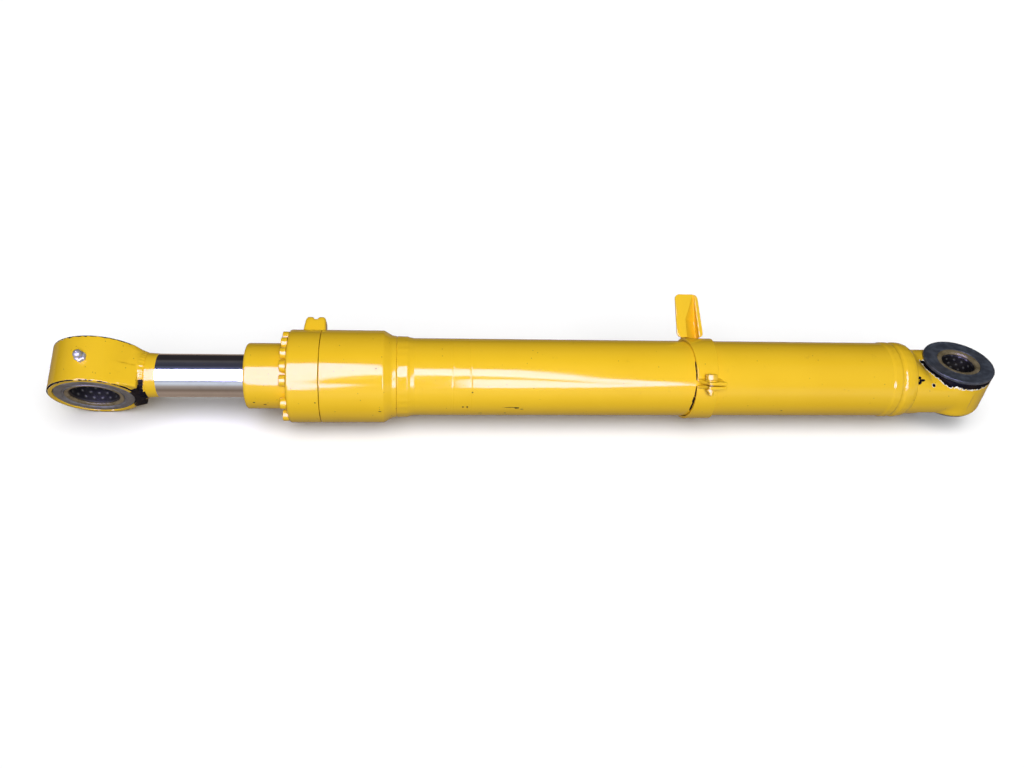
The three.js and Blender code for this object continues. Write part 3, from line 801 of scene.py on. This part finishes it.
def base_eye_field(spots):
    """Round stub that flattens towards the eye, the eye's disc, and the bore."""
    along, across, up = spots[..., 0], spots[..., 1], spots[..., 2]
    from_pin = np.hypot(along, across)
    eye = bar_field(from_pin, up + 4, BASE_EYE["radius"] - 0.6, 49, 2.5)
    eye = smooth_max(eye, (from_pin - up) * math.sqrt(0.5) - 86, 6)
    start = BASE_STEP_X - BASE_PIN_X - 6
    stub = np.maximum(np.hypot(across, up) - STUB_RADIUS, np.maximum(start - along, along - 10))
    ramp = 0.72 * np.clip(-86 - along, 0, 60)
    stub = smooth_max(stub, up - 45 - ramp, 22)
    stub = smooth_max(stub, -up - 53 - ramp, 12)
    body = smooth_min(eye, stub, 5)
    seat = np.maximum(from_pin - BASE_LOWER_SEAL - 0.3, up + 45.2)
    body = smooth_max(body, -seat, 0.8)
    return smooth_max(body, BASE_EYE["pin"] + BUSH_WALL + 0.2 - from_pin, 1.2)


def base_wear(points):
    """How worn the paint is round the upper rim of the base eye, most of all at the front."""
    along, across, up = points.T
    from_pin = np.hypot(along, across)
    facing = np.degrees(np.arctan2(across, along))
    window = np.clip((-5 - facing) / 25, 0, 1) + np.clip((facing - 165) / 15, 0, 1)
    reach = 13.5 + 3 * np.sin(np.radians(2.5 * facing))
    rim = np.hypot(np.maximum(from_pin - BASE_EYE["radius"], 0), np.maximum(45 - up, 0))
    inside = np.clip(1.25 - rim / reach, 0, 1.25)
    return inside * np.clip(window, 0, 1)


def make_base_eye():
    axes = eye_axes(BASE_EYE)
    shape = skin(base_eye_field, (-134, -84, -84), (82, 84, 84), 2.3, axes)
    wear = base_wear(shape[2])
    layers = {"wear": wear, "flake": np.clip(wear * 2, 0, 1)}
    replaced = ["base_eye"]
    add_piece("base_eye_casting", shape, paint_base, "barrel", replaced, attributes=layers)


def make_base_port():
    top = BASE_PORT["top"]
    bore = BASE_PORT["bore"]
    radius = BASE_PORT["radius"]
    corners = [
        (74, bore),
        (74, radius + 6),
        (84, radius + 3, 4),
        (89, radius, 4),
        (top, radius, 2.5),
        (top, bore + 1.5, 1),
        (top - 2, bore, 0.5),
    ]
    shape = lathe(rounded(corners), radial_axes(BASE_PORT["x"], BASE_PORT["angle"]), 64)
    add_piece("base_port_skin", shape, paint_plain, "barrel", ["base_port_boss"])


# ---- Linings of both eyes ----


def dimple_depths(turns, heights, radius):
    """How deep each point of the bush lies in a staggered pattern of grease dimples."""
    pitch = 17.0
    count = max(6, round(2 * math.pi * radius / pitch))
    step = 2 * math.pi / count
    row = np.round(heights / 11.0)
    shifted = turns + 0.5 * step * (row % 2)
    across = (shifted / step - np.round(shifted / step)) * step * radius
    away = np.hypot(across, heights - row * 11.0)
    return np.clip(1 - (away / 3.1) ** 2, 0, 1)


def make_bush(prefix, eye, half, body):
    """Bush with dimples pressed into its bore."""
    axes = eye_axes(eye)
    inner, outer = eye["pin"], eye["pin"] + BUSH_WALL
    heights = np.linspace(-half + 2, half - 2, 50)
    bore = [(height, inner) for height in heights]
    outline = np.array([(-half, outer), (-half, inner + 2), *bore, (half, inner + 2), (half, outer)])
    sides = 132
    turns = np.linspace(0, 2 * math.pi, sides, endpoint=False)
    depth = dimple_depths(turns[None, :], outline[:, :1], inner)
    depth[[0, 1, -2, -1]] = 0
    shape = lathe(outline, axes, sides, wobble=lambda along, angles: 1.1 * depth)
    layers = {"dimple_and_highlight": depth.ravel()}
    replaced = [f"{prefix}_bush"]
    add_piece(f"{prefix}_bush_sleeve", shape, bush_steel, body, replaced, attributes=layers)


def base_seal_outline(outer):
    """Flat slate ring with a raised rim, and the cone that leads to the lip."""
    half = BASE_EYE["half"]
    return [
        (45.3, 47.2, 0.5),
        (45.3, outer - 0.1, 1.5),
        (half - 0.6, outer, 2.6),
        (half, outer - 4.3, 1.5),
        (half - 0.9, outer - 7.3, 1),
        (half - 0.9, 52, 1.5),
        (half - 0.2, 48, 1.5),
        (half - 1.6, 46.6, 1),
    ]


def rod_seal_outline(outer):
    """Grey ring with a bright raised middle, between two dark grooves."""
    half = ROD_EYE["half"]
    return [
        (43.4, 57, 0.5),
        (43.4, outer - 0.3, 1),
        (half - 2.6, outer, 1.5),
        (half - 0.6, outer - 2.5, 2),
        (half - 0.2, 69, 3),
        (half - 0.6, 63, 2),
        (half - 3.6, 60.5, 1),
        (half - 3.8, 58.2, 1),
        (half - 1.4, 57.2, 1),
    ]


def lip_outline(start, wide, tight, low):
    """Cone from the seal's inner edge down to the pin."""
    middle = (wide + tight) / 2
    return [
        (start, wide, 0.8),
        (start + 0.2, middle + 2, 2),
        (start - 1.2, tight + 1.6, 1.5),
        (low + 2.4, tight + 0.2, 1.2),
        (low, tight + 1.4, 0.8),
        (low, wide, 0.5),
    ]


def make_seals(prefix, eye, ring_outline, outers, lip, ring_material, body):
    """A dust seal on each side of an eye: its ring, and the greased lip inside it."""
    for suffix, side, outer in (("a", 1, outers[0]), ("b", -1, outers[1])):
        base = eye_axes(eye)
        axes = Axes(base.origin, base.ways[0], base.ways[1], side * base.ways[2])
        node = [f"{prefix}_dust_seal_{suffix}"]
        ring = lathe(rounded(ring_outline(outer)), axes, 144)
        add_piece(f"{prefix}_seal_ring_{suffix}", ring, ring_material, body, node)
        cone = lathe(rounded(lip), axes, 120)
        add_piece(f"{prefix}_seal_lip_{suffix}", cone, greased_lip, body, node)


def nipple_rings():
    """Rings of a grease nipple: stem, hexagon with chamfers, neck, ball and its mouth."""
    around = 36
    turns = np.linspace(0, 2 * math.pi, around, endpoint=False)
    circle, hexagon = circle_and_hexagon(turns)
    rounded_hexagon = 0.5 * (circle + hexagon)
    layers = [(-9, 5, circle), (0.2, 5, circle), (0.25, 9.4, rounded_hexagon), (1.0, 10.2, hexagon)]
    layers += [(7.6, 10.2, hexagon), (8.8, 9.4, rounded_hexagon), (9.2, 8.2, circle), (9.8, 5.8, circle)]
    layers += [(12.2, 5.4, circle), (13.4, 6.2, circle), (14.8, 8.2, circle), (17.4, 9.0, circle)]
    layers += [(19.8, 8.4, circle), (22.4, 6.4, circle), (23.8, 4.2, circle), (24, 3.0, circle)]
    layers += [(23.2, 2.2, circle), (22.0, 1.0, circle)]
    return [np.concatenate([radius * base, np.full((around, 1), out)], 1) for out, radius, base in layers]


def make_nipple(prefix, eye, body):
    base = eye_axes(eye)
    turn = math.radians(eye["nipple"])
    outward = math.cos(turn) * base.ways[0] + math.sin(turn) * base.ways[1]
    sideways = -math.sin(turn) * base.ways[0] + math.cos(turn) * base.ways[1]
    axes = Axes(base.origin + eye["radius"] * outward, sideways, base.ways[2], outward)
    node = f"{prefix}_grease_nipple"
    add_piece(f"{node}_skin", loft(nipple_rings(), axes), zinc, body, [node])


# ---- Clamp with pipe bracket ----


def band_half_widths(turn):
    """Edges of the band along X at a turn from its ears: narrow beside the ears, wide at the top."""
    share = 0.5 - 0.5 * np.cos(np.clip(turn, 0, 2 * math.pi))
    low = -23.5 - 9.5 * np.clip(share * 1.6, 0, 1)
    high = 22 + 10.5 * np.clip(share * 1.6, 0, 1)
    return low, high


def make_band():
    """Strap round the tube, open between its ears."""
    steps = 150
    gap = math.asin((EAR["half_gap"] + EAR["thickness"] / 2) / BAND["inner"])
    turns = np.linspace(gap, 2 * math.pi - gap, steps)
    rings = []
    for turn in turns:
        low, high = band_half_widths(turn)
        lift = 1.3 * math.exp(-(((turn - 5.35) / 0.5) ** 2)) + 1.0 * math.exp(-(((turn - 0.75) / 0.4) ** 2))
        section = rounded(
            [
                (low, BAND["inner"] + lift, 0.8),
                (low, BAND["outer"] + lift * 0.6, 1.5),
                (high, BAND["outer"], 1.5),
                (high, BAND["inner"], 0.8),
            ],
            steps=3,
        )
        outward = toward(BAND["angle"] + math.degrees(turn))
        rings.append(section[:, :1] * X_WAY + section[:, 1:2] * outward)
    axes = Axes([BAND_CENTRE_X, 0, 0], [1, 0, 0], [0, 1, 0], [0, 0, 1])
    add_piece("clamp_strap", loft(rings, axes), paint_plain, "barrel", ["clamp_band"])


def make_ears():
    """Two plates that stand out from the strap, with rounded corners."""
    centre, half = (EAR["left"] + EAR["right"]) / 2, (EAR["right"] - EAR["left"]) / 2
    for name, side in (("upper", 1), ("lower", -1)):
        middle = side * (EAR["half_gap"] + EAR["thickness"] / 2)

        def ear_field(spots, side=side, middle=middle):
            x, across, out = spots[..., 0], spots[..., 1], spots[..., 2]
            flare = 11 * np.clip((112 - out) / 20, 0, 1)
            plan = block_field([x - centre + flare / 2, out - 104], [half + flare / 2, EAR["reach"] - 104], 4)
            spread = side * 3 * np.clip((102 - out) / 12, 0, 1)
            return smooth_max(plan, np.abs(across - middle - spread) - EAR["thickness"] / 2, 1.6)

        axes = radial_axes(BAND_CENTRE_X, BAND["angle"])
        low, high = (EAR["left"] - 14, middle - 8, 80), (EAR["right"] + 3, middle + 8, 130)
        shape = skin(ear_field, low, high, 1.3, axes)
        add_piece(f"clamp_ear_{name}", shape, paint_plain, "barrel", ["clamp_band"])


def hexagon_rings(radius, start, end, tip=0.0):
    """Rings of a hexagonal head with chamfered corners, and a round tip if it has one."""
    around = 36
    turns = np.linspace(0, 2 * math.pi, around, endpoint=False)
    circle = np.stack([np.cos(turns), np.sin(turns)], -1)
    sector = (turns + math.pi / 6) % (math.pi / 3) - math.pi / 6
    hexagon = math.cos(math.pi / 6) * circle / np.cos(sector)[:, None]
    blunt = np.minimum(1.0, 0.93 / np.linalg.norm(hexagon, axis=1))[:, None] * hexagon
    way = 1 if end > start else -1
    layers = [(start, radius * 0.5, circle), (start, radius, blunt), (start + 1.0 * way, radius, hexagon)]
    layers += [(end - 1.6 * way, radius, hexagon), (end - 0.3 * way, radius, blunt)]
    layers += [(end, radius * 0.8, circle)]
    if tip:
        layers += [(end, radius * 0.5, circle), (end + tip * way, radius * 0.49, circle)]
        layers += [(end + (tip + 1) * way, radius * 0.4, circle)]
    return [np.concatenate([size * base, np.full((around, 1), out)], 1) for out, size, base in layers]


def make_clamp_screw():
    outward = toward(BAND["angle"])
    across = toward(BAND["angle"] + 90)
    axes = Axes([BAND_CENTRE_X, 0, 0] + EAR["bolt"] * outward, X_WAY, outward, across)
    outside = EAR["half_gap"] + EAR["thickness"] + 0.3
    head = loft(hexagon_rings(SCREW["head"], outside + 3.3, outside + 3.3 + SCREW["head_height"]), axes)
    add_piece("clamp_bolt_head", head, paint_plain, "barrel", ["clamp_bolt"])
    nut = loft(hexagon_rings(SCREW["nut"], -outside, -outside - SCREW["nut_height"], tip=5.8), axes)
    add_piece("clamp_nut_skin", nut, paint_plain, "barrel", ["clamp_nut"])
    shank = [(-outside - 1, 4.9), (outside + 3, 4.9), (outside + 3, 3), (-outside - 1, 3)]
    add_piece("clamp_bolt_shank", lathe(shank, axes, 32), zinc, "barrel", ["clamp_bolt"])
    rim = SCREW["washer"]
    washer = [(outside, 5.6), (outside, rim, 0.8), (outside + 3, rim, 0.8), (outside + 3, 5.6)]
    shape = lathe(rounded(washer), axes, 48)
    add_piece("clamp_washer_skin", shape, paint_plain, "barrel", ["clamp_washer"])


def bracket_field(spots):
    """Bent plate on the band: an upright with a wedge-shaped recess in front, open behind on the left."""
    x, across, out = spots[..., 0], spots[..., 1], spots[..., 2]
    rise = np.clip((out - 88) / 99, 0, 1)
    shifted = x + BRACKET["lean"] * rise
    half = 30 - 4.5 * rise
    wall = BRACKET["wall"]
    depth = (BRACKET["back"] - BRACKET["front"]) / 2
    middle = (BRACKET["back"] + BRACKET["front"]) / 2
    plan = block_field([shifted, out - 138], [half, 48.7], 11)
    block = smooth_max(plan, np.abs(across - middle) - depth, 1.6)
    plate_right = -6.5 + 40 * np.maximum(rise - 0.42, 0)
    flange_left = half - 9.5 + 1.5 * rise
    slant = 0.74 * (across - BRACKET["front"] - 1.5 - 0.9 * (shifted - plate_right))
    recess = np.maximum(np.maximum(plate_right - shifted, shifted - flange_left), slant)
    behind = np.maximum(shifted - plate_right + wall, BRACKET["front"] + wall - across)
    body = smooth_max(smooth_max(block, -recess, 2), -behind, 1.5)
    return smooth_max(body, 88.9 - np.hypot(across, out), 1)


def make_bracket():
    axes = radial_axes(BRACKET["x"], BRACKET["angle"])
    shape = skin(bracket_field, (-36, -20, 80), (34, 24, 191), 1.7, axes)
    add_piece("pipe_bracket_skin", shape, paint_plain, "barrel", ["pipe_bracket"])


# ---- Rod ----


def make_rod():
    corners = [
        (ROD_END_X + 9, 0),
        (ROD_END_X + 9, ROD_RADIUS, 0.5),
        (489, ROD_RADIUS, 1),
        (489, 36),
        (600, 36),
        (600, 32),
        (650, 32, 2),
        (650, 0),
    ]
    shape = lathe(rounded(corners, closed=False), LATHE, 144, closed=False)
    add_piece("rod_chrome", shape, chrome, "rod", ["piston_rod"])
    collar = [
        (ROD_END_X + 8.5, 40),
        (ROD_END_X + 8.5, 46.6, 1.5),
        (ROD_COLLAR_END_X - 6, 45.7, 3),
        (ROD_COLLAR_END_X, 45.15, 0.4),
        (ROD_COLLAR_END_X, 40),
    ]
    shape = lathe(rounded(collar), LATHE, 144)
    add_piece("rod_paint_band", shape, paint_plain, "rod", ["piston_rod"])


def weld_bead(along, turns):
    return 0.7 * np.sin(31 * turns + 2 * np.sin(4 * turns)) * np.exp(-(((along + 832) / 5) ** 2))


def make_rod_weld():
    corners = [
        (ROD_END_X - 6, 38),
        (ROD_END_X - 6, 50, 2),
        (ROD_END_X + 1, 49.2, 3),
        (ROD_END_X + 8.6, 46.4, 2),
        (ROD_END_X + 8.6, 38),
    ]
    points, faces = lathe(rounded(corners), LATHE, 180, wobble=weld_bead)
    turns = np.degrees(np.arctan2(points[:, 2], -points[:, 1]))
    half_width = np.where(turns > -8, 4.5, 13)
    window = np.clip(1 - np.clip(np.abs(turns + 10) - 34, 0, 20) / 6, 0, 1)
    wear = window * np.clip(1.7 - np.abs(points[:, 0] + 837 - 0.12 * (turns + 10)) / half_width, 0, 1.3)
    layers = {"wear": wear, "flake": 0 * wear}
    shape = (points, faces)
    add_piece("rod_weld", shape, paint_rod_eye, "rod", ["piston_rod"], attributes=layers)


FORGING_TILT = math.radians(59.5)


def rod_eye_field(spots):
    """Disc of the eye with a forged neck, whose front half stands proud and ends in a sharp edge."""
    along, across, pin = spots[..., 0], spots[..., 1], spots[..., 2]
    from_pin = np.hypot(along, across)
    eye = bar_field(from_pin, pin, ROD_EYE["radius"], ROD_EYE["half"], 2.6)
    taper = np.abs(across) * math.sin(FORGING_TILT) + along * math.cos(FORGING_TILT)
    front = smooth_max(smooth_max(taper - 88.2, along - 93, 3), np.abs(pin - 22) - 23.5, 2.5)
    front = np.maximum(front, 44 - along)
    back = smooth_max(smooth_max(taper - 81, along - 95, 16), np.abs(pin + 20) - 26, 12)
    back = np.maximum(back, 40 - along)
    throat = smooth_max(np.hypot(across, pin) - 49.5, np.maximum(60 - along, along - 94), 2)
    body = smooth_min(smooth_min(eye, back, 10), throat, 7)
    body = smooth_min(body, front, 1.5)
    body = smooth_max(body, np.abs(pin) - ROD_EYE["half"], 1.5)
    seat = np.maximum(from_pin - ROD_EYE["seal"] - 0.5, ROD_EYE["half"] - 5.9 - np.abs(pin))
    body = smooth_max(body, -seat, 0.8)
    return smooth_max(body, ROD_EYE["pin"] + BUSH_WALL + 0.2 - from_pin, 1.0)


def rod_eye_wear(points):
    """Chipped rims of the eye, and the bare patch under the neck."""
    along, across, pin = points.T
    from_pin = np.hypot(along, across)
    front_rim = np.hypot(from_pin - 88.2, pin - 48.6)
    back_rim = np.hypot(from_pin - 88.2, pin + 48.6)
    facing = np.degrees(np.arctan2(across, along))
    around = 0.85 + 0.3 * np.sin(np.radians(3 * facing + 40))
    wear = np.clip(1.25 - front_rim / 3.2, 0, 1.25) * around
    wear = np.maximum(wear, np.clip(1.0 - back_rim / 6.5, 0, 1) * 0.85)
    patch = np.hypot((along - 88) / 21, (pin - 45) / 13) + np.clip(across - 22, 0, 50) / 14
    crack = np.hypot((along - 90) / 5.5, np.clip(across - 30, 0, 50) / 10)
    patch = np.minimum(patch, crack + (pin < 5) * 2)
    return np.maximum(wear, np.clip(1.5 - patch, 0, 1.25))


def make_rod_eye():
    axes = eye_axes(ROD_EYE)
    shape = skin(rod_eye_field, (-92, -92, -53), (98, 92, 53), 2.3, axes)
    wear = rod_eye_wear(shape[2])
    left = np.clip(-shape[2][:, 0] / 60 - 0.6, 0, 1)
    layers = {"wear": wear, "flake": left * np.clip(wear * 2, 0, 1)}
    add_piece("rod_eye_casting", shape, paint_rod_eye, "rod", ["rod_eye"], attributes=layers)


# ---- CAD nodes that stay ----


def dress_nodes():
    """Materials for the seals, rings and piston parts inside the barrel."""
    finishes = {
        "head_o_ring": rubber,
        "rod_bushing": bronze,
        "buffer_seal": polymer,
        "rod_seal": polymer,
        "piston_seal": polymer,
        "wear_ring_front": bronze,
        "wear_ring_rear": bronze,
        "piston": turned_steel,
        "piston_nut": oiled_steel,
        "piston_lock_screw": oiled_steel,
    }
    for name, material in finishes.items():
        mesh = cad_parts[name].data
        mesh.materials.clear()
        mesh.materials.append(material)


# ---- Floor, light and camera ----


def emission_material(name, strength, color=(1, 1, 1)):
    material = bpy.data.materials.new(name)
    material.use_nodes = True
    tree = material.node_tree
    tree.nodes.clear()
    glow = tree.nodes.new("ShaderNodeEmission")
    glow.inputs["Color"].default_value = (*color, 1)
    glow.inputs["Strength"].default_value = strength
    output = tree.nodes.new("ShaderNodeOutputMaterial")
    tree.links.new(glow.outputs[0], output.inputs["Surface"])
    return material


def make_floor():
    half = 15.0
    mesh = bpy.data.meshes.new("floor")
    corners = [(-half, -half, 0), (half, -half, 0), (half, half, 0), (-half, half, 0)]
    mesh.from_pydata(corners, [], [(0, 1, 2, 3)])
    floor = bpy.data.objects.new("floor", mesh)
    bpy.context.scene.collection.objects.link(floor)
    material = bpy.data.materials.new("studio_floor")
    material.use_nodes = True
    surface = material.node_tree.nodes["Principled BSDF"]
    surface.inputs["Base Color"].default_value = (0.92, 0.92, 0.92, 1)
    surface.inputs["Roughness"].default_value = 0.9
    surface.inputs["Specular IOR Level"].default_value = 0.0
    mesh.materials.append(material)
    floor.visible_diffuse = False
    floor.visible_glossy = False
    return floor


# Soft boxes that only the gloss shows, as (X, lowest angle, highest angle) about the cylinder axis.
CARD_DISTANCE = 1920
CARD_STRENGTH = 17
CARD_TINT = (0.52, 0.46, 0.96)
CARDS = {
    "card_head": [(-2600, 13, 69), (-1000, 13, 69), (-900, 6, 68.5), (-690, 5, 68)],
    "card_collar": [(-690, 26, 70), (-560, 38, 69), (-400, 44, 66)],
    "card_collar_low": [(-690, 8, 20), (-560, 14, 20), (-520, 17, 19)],
    "card_tube_high": [
        (-400, 42, 61), (-80, 42, 61), (150, 38, 60), (330, 32, 50), (507, 23, 36), (860, 20, 25)
    ],
    "card_tube_low": [(-90, 7, 31), (150, 7, 31.5), (507, 9.5, 21.5), (930, 18, 20.5)],
}


def make_cards():
    glow = emission_material("soft_box", CARD_STRENGTH, CARD_TINT)
    for name, stations in CARDS.items():
        points, faces = [], []
        rise = 13
        for x, low, high in stations:
            for angle in np.linspace(low, high, rise):
                points.append(np.array([x, 0, 0]) + CARD_DISTANCE * toward(angle))
        for column in range(len(stations) - 1):
            for row in range(rise - 1):
                corner = column * rise + row
                faces.append((corner, corner + 1, corner + rise + 1, corner + rise))
        mesh = bpy.data.meshes.new(name)
        mesh.from_pydata((np.array(points) * MM + AXIS_POINT).tolist(), [], faces)
        mesh.materials.append(glow)
        card = bpy.data.objects.new(name, mesh)
        bpy.context.scene.collection.objects.link(card)
        card.visible_camera = False
        card.visible_diffuse = False
        card.visible_shadow = False


def make_light(name, kind, aim_from, energy, size=None):
    """A lamp that looks at the cylinder axis from a point given as (X, angle, distance) in millimetres."""
    x, angle, distance = aim_from
    data = bpy.data.lights.new(name, kind)
    data.energy = energy
    if kind == "AREA":
        data.shape = "DISK"
        data.size = size
    else:
        data.angle = size
    lamp = bpy.data.objects.new(name, data)
    bpy.context.scene.collection.objects.link(lamp)
    place = (np.array([x, 0, 0]) + distance * toward(angle)) * MM + AXIS_POINT
    backward = toward(angle)
    lamp.matrix_world = looking(place, backward)
    lamp.visible_glossy = False
    return lamp


def looking(place, backward):
    """Matrix of a camera or lamp at a place whose own +Z points backward."""
    right = np.array(X_WAY)
    up = np.cross(backward, right)
    matrix = Matrix.Identity(4)
    for row in range(3):
        matrix[row][0], matrix[row][1], matrix[row][2] = right[row], up[row], backward[row]
        matrix[row][3] = place[row]
    return matrix


# What the gloss sees at each height angle, from the floor in front over the top to the back.
SKY = [
    (-90, (0.36, 0.265, 0.2)),
    (-70, (0.42, 0.31, 0.235)),
    (-47, (0.235, 0.168, 0.125)),
    (-23, (0.46, 0.39, 0.34)),
    (-6, (0.83, 0.88, 0.95)),
    (6, (0.63, 0.66, 0.75)),
    (16, (0.2, 0.22, 0.3)),
    (73, (0.125, 0.152, 0.246)),
    (89, (0.05, 0.05, 0.065)),
    (104, (0.06, 0.06, 0.08)),
    (121, (0.105, 0.096, 0.094)),
    (131, (0.03, 0.026, 0.028)),
]
FILL_LOW = (0.14, 0.135, 0.13)
FILL_HIGH = (0.105, 0.105, 0.11)


def make_world():
    """Weak fill for the diffuse light; the gloss sees a dark ceiling and a brown floor instead."""
    world = bpy.data.worlds.new("studio")
    bpy.context.scene.world = world
    world.use_nodes = True
    tree = world.node_tree
    tree.nodes.clear()

    def math_node(operation, *values):
        made = tree.nodes.new("ShaderNodeMath")
        made.operation = operation
        for socket, value in zip(made.inputs, values):
            if isinstance(value, bpy.types.NodeSocket):
                tree.links.new(value, socket)
            else:
                socket.default_value = value
        return made.outputs[0]

    def blended(share, first, second):
        made = tree.nodes.new("ShaderNodeMix")
        made.data_type = "RGBA"
        tree.links.new(share, made.inputs[0])
        for slot, color in ((6, first), (7, second)):
            if isinstance(color, tuple):
                made.inputs[slot].default_value = (*color, 1)
            else:
                tree.links.new(color, made.inputs[slot])
        return made.outputs[2]

    place = tree.nodes.new("ShaderNodeTexCoord")
    split = tree.nodes.new("ShaderNodeSeparateXYZ")
    tree.links.new(place.outputs["Generated"], split.inputs[0])
    height = math_node("ARCTAN2", split.outputs["Z"], math_node("MULTIPLY", split.outputs["Y"], -1.0))
    span = SKY[-1][0] - SKY[0][0]
    share = math_node("DIVIDE", math_node("SUBTRACT", height, math.radians(SKY[0][0])), math.radians(span))
    sky = tree.nodes.new("ShaderNodeValToRGB")
    tree.links.new(share, sky.inputs[0])
    steps = sky.color_ramp.elements
    while len(steps) < len(SKY):
        steps.new(0.5)
    for step, (angle, color) in zip(steps, SKY):
        step.position = (angle - SKY[0][0]) / span
        step.color = (*color, 1)
    upward = math_node("MULTIPLY_ADD", split.outputs["Z"], 5.0, 0.5)
    fill = blended(upward, FILL_LOW, FILL_HIGH)
    path = tree.nodes.new("ShaderNodeLightPath")
    chosen = blended(path.outputs["Is Glossy Ray"], fill, sky.outputs[0])
    background = tree.nodes.new("ShaderNodeBackground")
    tree.links.new(chosen, background.inputs["Color"])
    output = tree.nodes.new("ShaderNodeOutputWorld")
    tree.links.new(background.outputs[0], output.inputs["Surface"])


def make_studio():
    floor = make_floor()
    make_cards()
    make_world()
    key = make_light("key", "AREA", (-150, 38, 3200), 108, 1.2)
    rim = make_light("rim", "SUN", (0, 150, 3000), 0.3, math.radians(50))
    floor_light = make_light("floor_light", "SUN", (0, 58, 3000), 3.8, math.radians(76))
    lit_alone = bpy.data.collections.new("floor_light_receivers")
    lit_alone.objects.link(floor)
    floor_light.light_linking.receiver_collection = lit_alone
    left_out = bpy.data.collections.new("object_light_receivers")
    left_out.objects.link(floor)
    left_out.collection_objects[0].light_linking.link_state = "EXCLUDE"
    for lamp in (key, rim):
        lamp.light_linking.receiver_collection = left_out
    bpy.context.scene.view_settings.view_transform = "Standard"


# Camera pose about the cylinder, from its own right, up and backward directions.
CAMERA_YAW = 6.41498
CAMERA_ROLL = -0.270356
CAMERA_FOOT_X = -70.8
CAMERA_RISE = 0.00761741
CAMERA_REACH = 1932.518


def make_camera():
    yaw, roll, tilt = (math.radians(angle) for angle in (CAMERA_YAW, CAMERA_ROLL, CAMERA_HEIGHT_ANGLE))
    turn = np.array([[math.cos(roll), -math.sin(roll), 0], [math.sin(roll), math.cos(roll), 0], [0, 0, 1]])
    along = turn @ [math.cos(yaw), 0, math.sin(yaw)]
    nearer = turn @ [math.sin(yaw), 0, -math.cos(yaw)]
    higher = turn @ [0, 1, 0]
    ways = {
        "along": X_WAY,
        "nearer": np.array([0, -math.cos(tilt), math.sin(tilt)]),
        "higher": np.array([0, math.sin(tilt), math.cos(tilt)]),
    }

    def to_world(vector):
        parts = ((along, "along"), (nearer, "nearer"), (higher, "higher"))
        return sum((vector @ way) * ways[name] for way, name in parts)

    foot = np.array([CAMERA_FOOT_X, 0, 0])
    eye = foot - to_world(np.array([0, CAMERA_RISE, 1]) * CAMERA_REACH)
    place = eye * MM + AXIS_POINT
    data = bpy.data.cameras.new("camera")
    data.sensor_width = 36
    data.lens = LENS_MM
    data.clip_end = 60
    camera = bpy.data.objects.new("camera", data)
    bpy.context.scene.collection.objects.link(camera)
    columns = [to_world(np.array(unit)) for unit in ([1.0, 0, 0], [0, 1.0, 0], [0, 0, -1.0])]
    matrix = Matrix.Identity(4)
    for row in range(3):
        for column in range(3):
            matrix[row][column] = columns[column][row]
        matrix[row][3] = place[row]
    camera.matrix_world = matrix
    bpy.context.scene.camera = camera


# ---- Assembly ----

make_tube()
make_collar()
make_head()
make_head_port()
make_head_bolts()
make_wiper()
make_base_rings()
make_base_eye()
make_base_port()
make_bush("base", BASE_EYE, 44, "barrel")
base_lip, rod_lip = lip_outline(51.8, 46.4, 35.6, 44.3), lip_outline(47.6, 56.6, 48.2, 42.3)
make_seals("base", BASE_EYE, base_seal_outline, (77.3, 71), base_lip, seal_slate, "barrel")
make_nipple("base", BASE_EYE, "barrel")
make_band()
make_ears()
make_clamp_screw()
make_bracket()
make_rod()
make_rod_weld()
make_rod_eye()
make_bush("rod", ROD_EYE, 42, "rod")
make_seals("rod", ROD_EYE, rod_seal_outline, (77.5, 77.5), rod_lip, seal_grey, "rod")
make_nipple("rod", ROD_EYE, "rod")
dress_nodes()
make_studio()
make_camera()
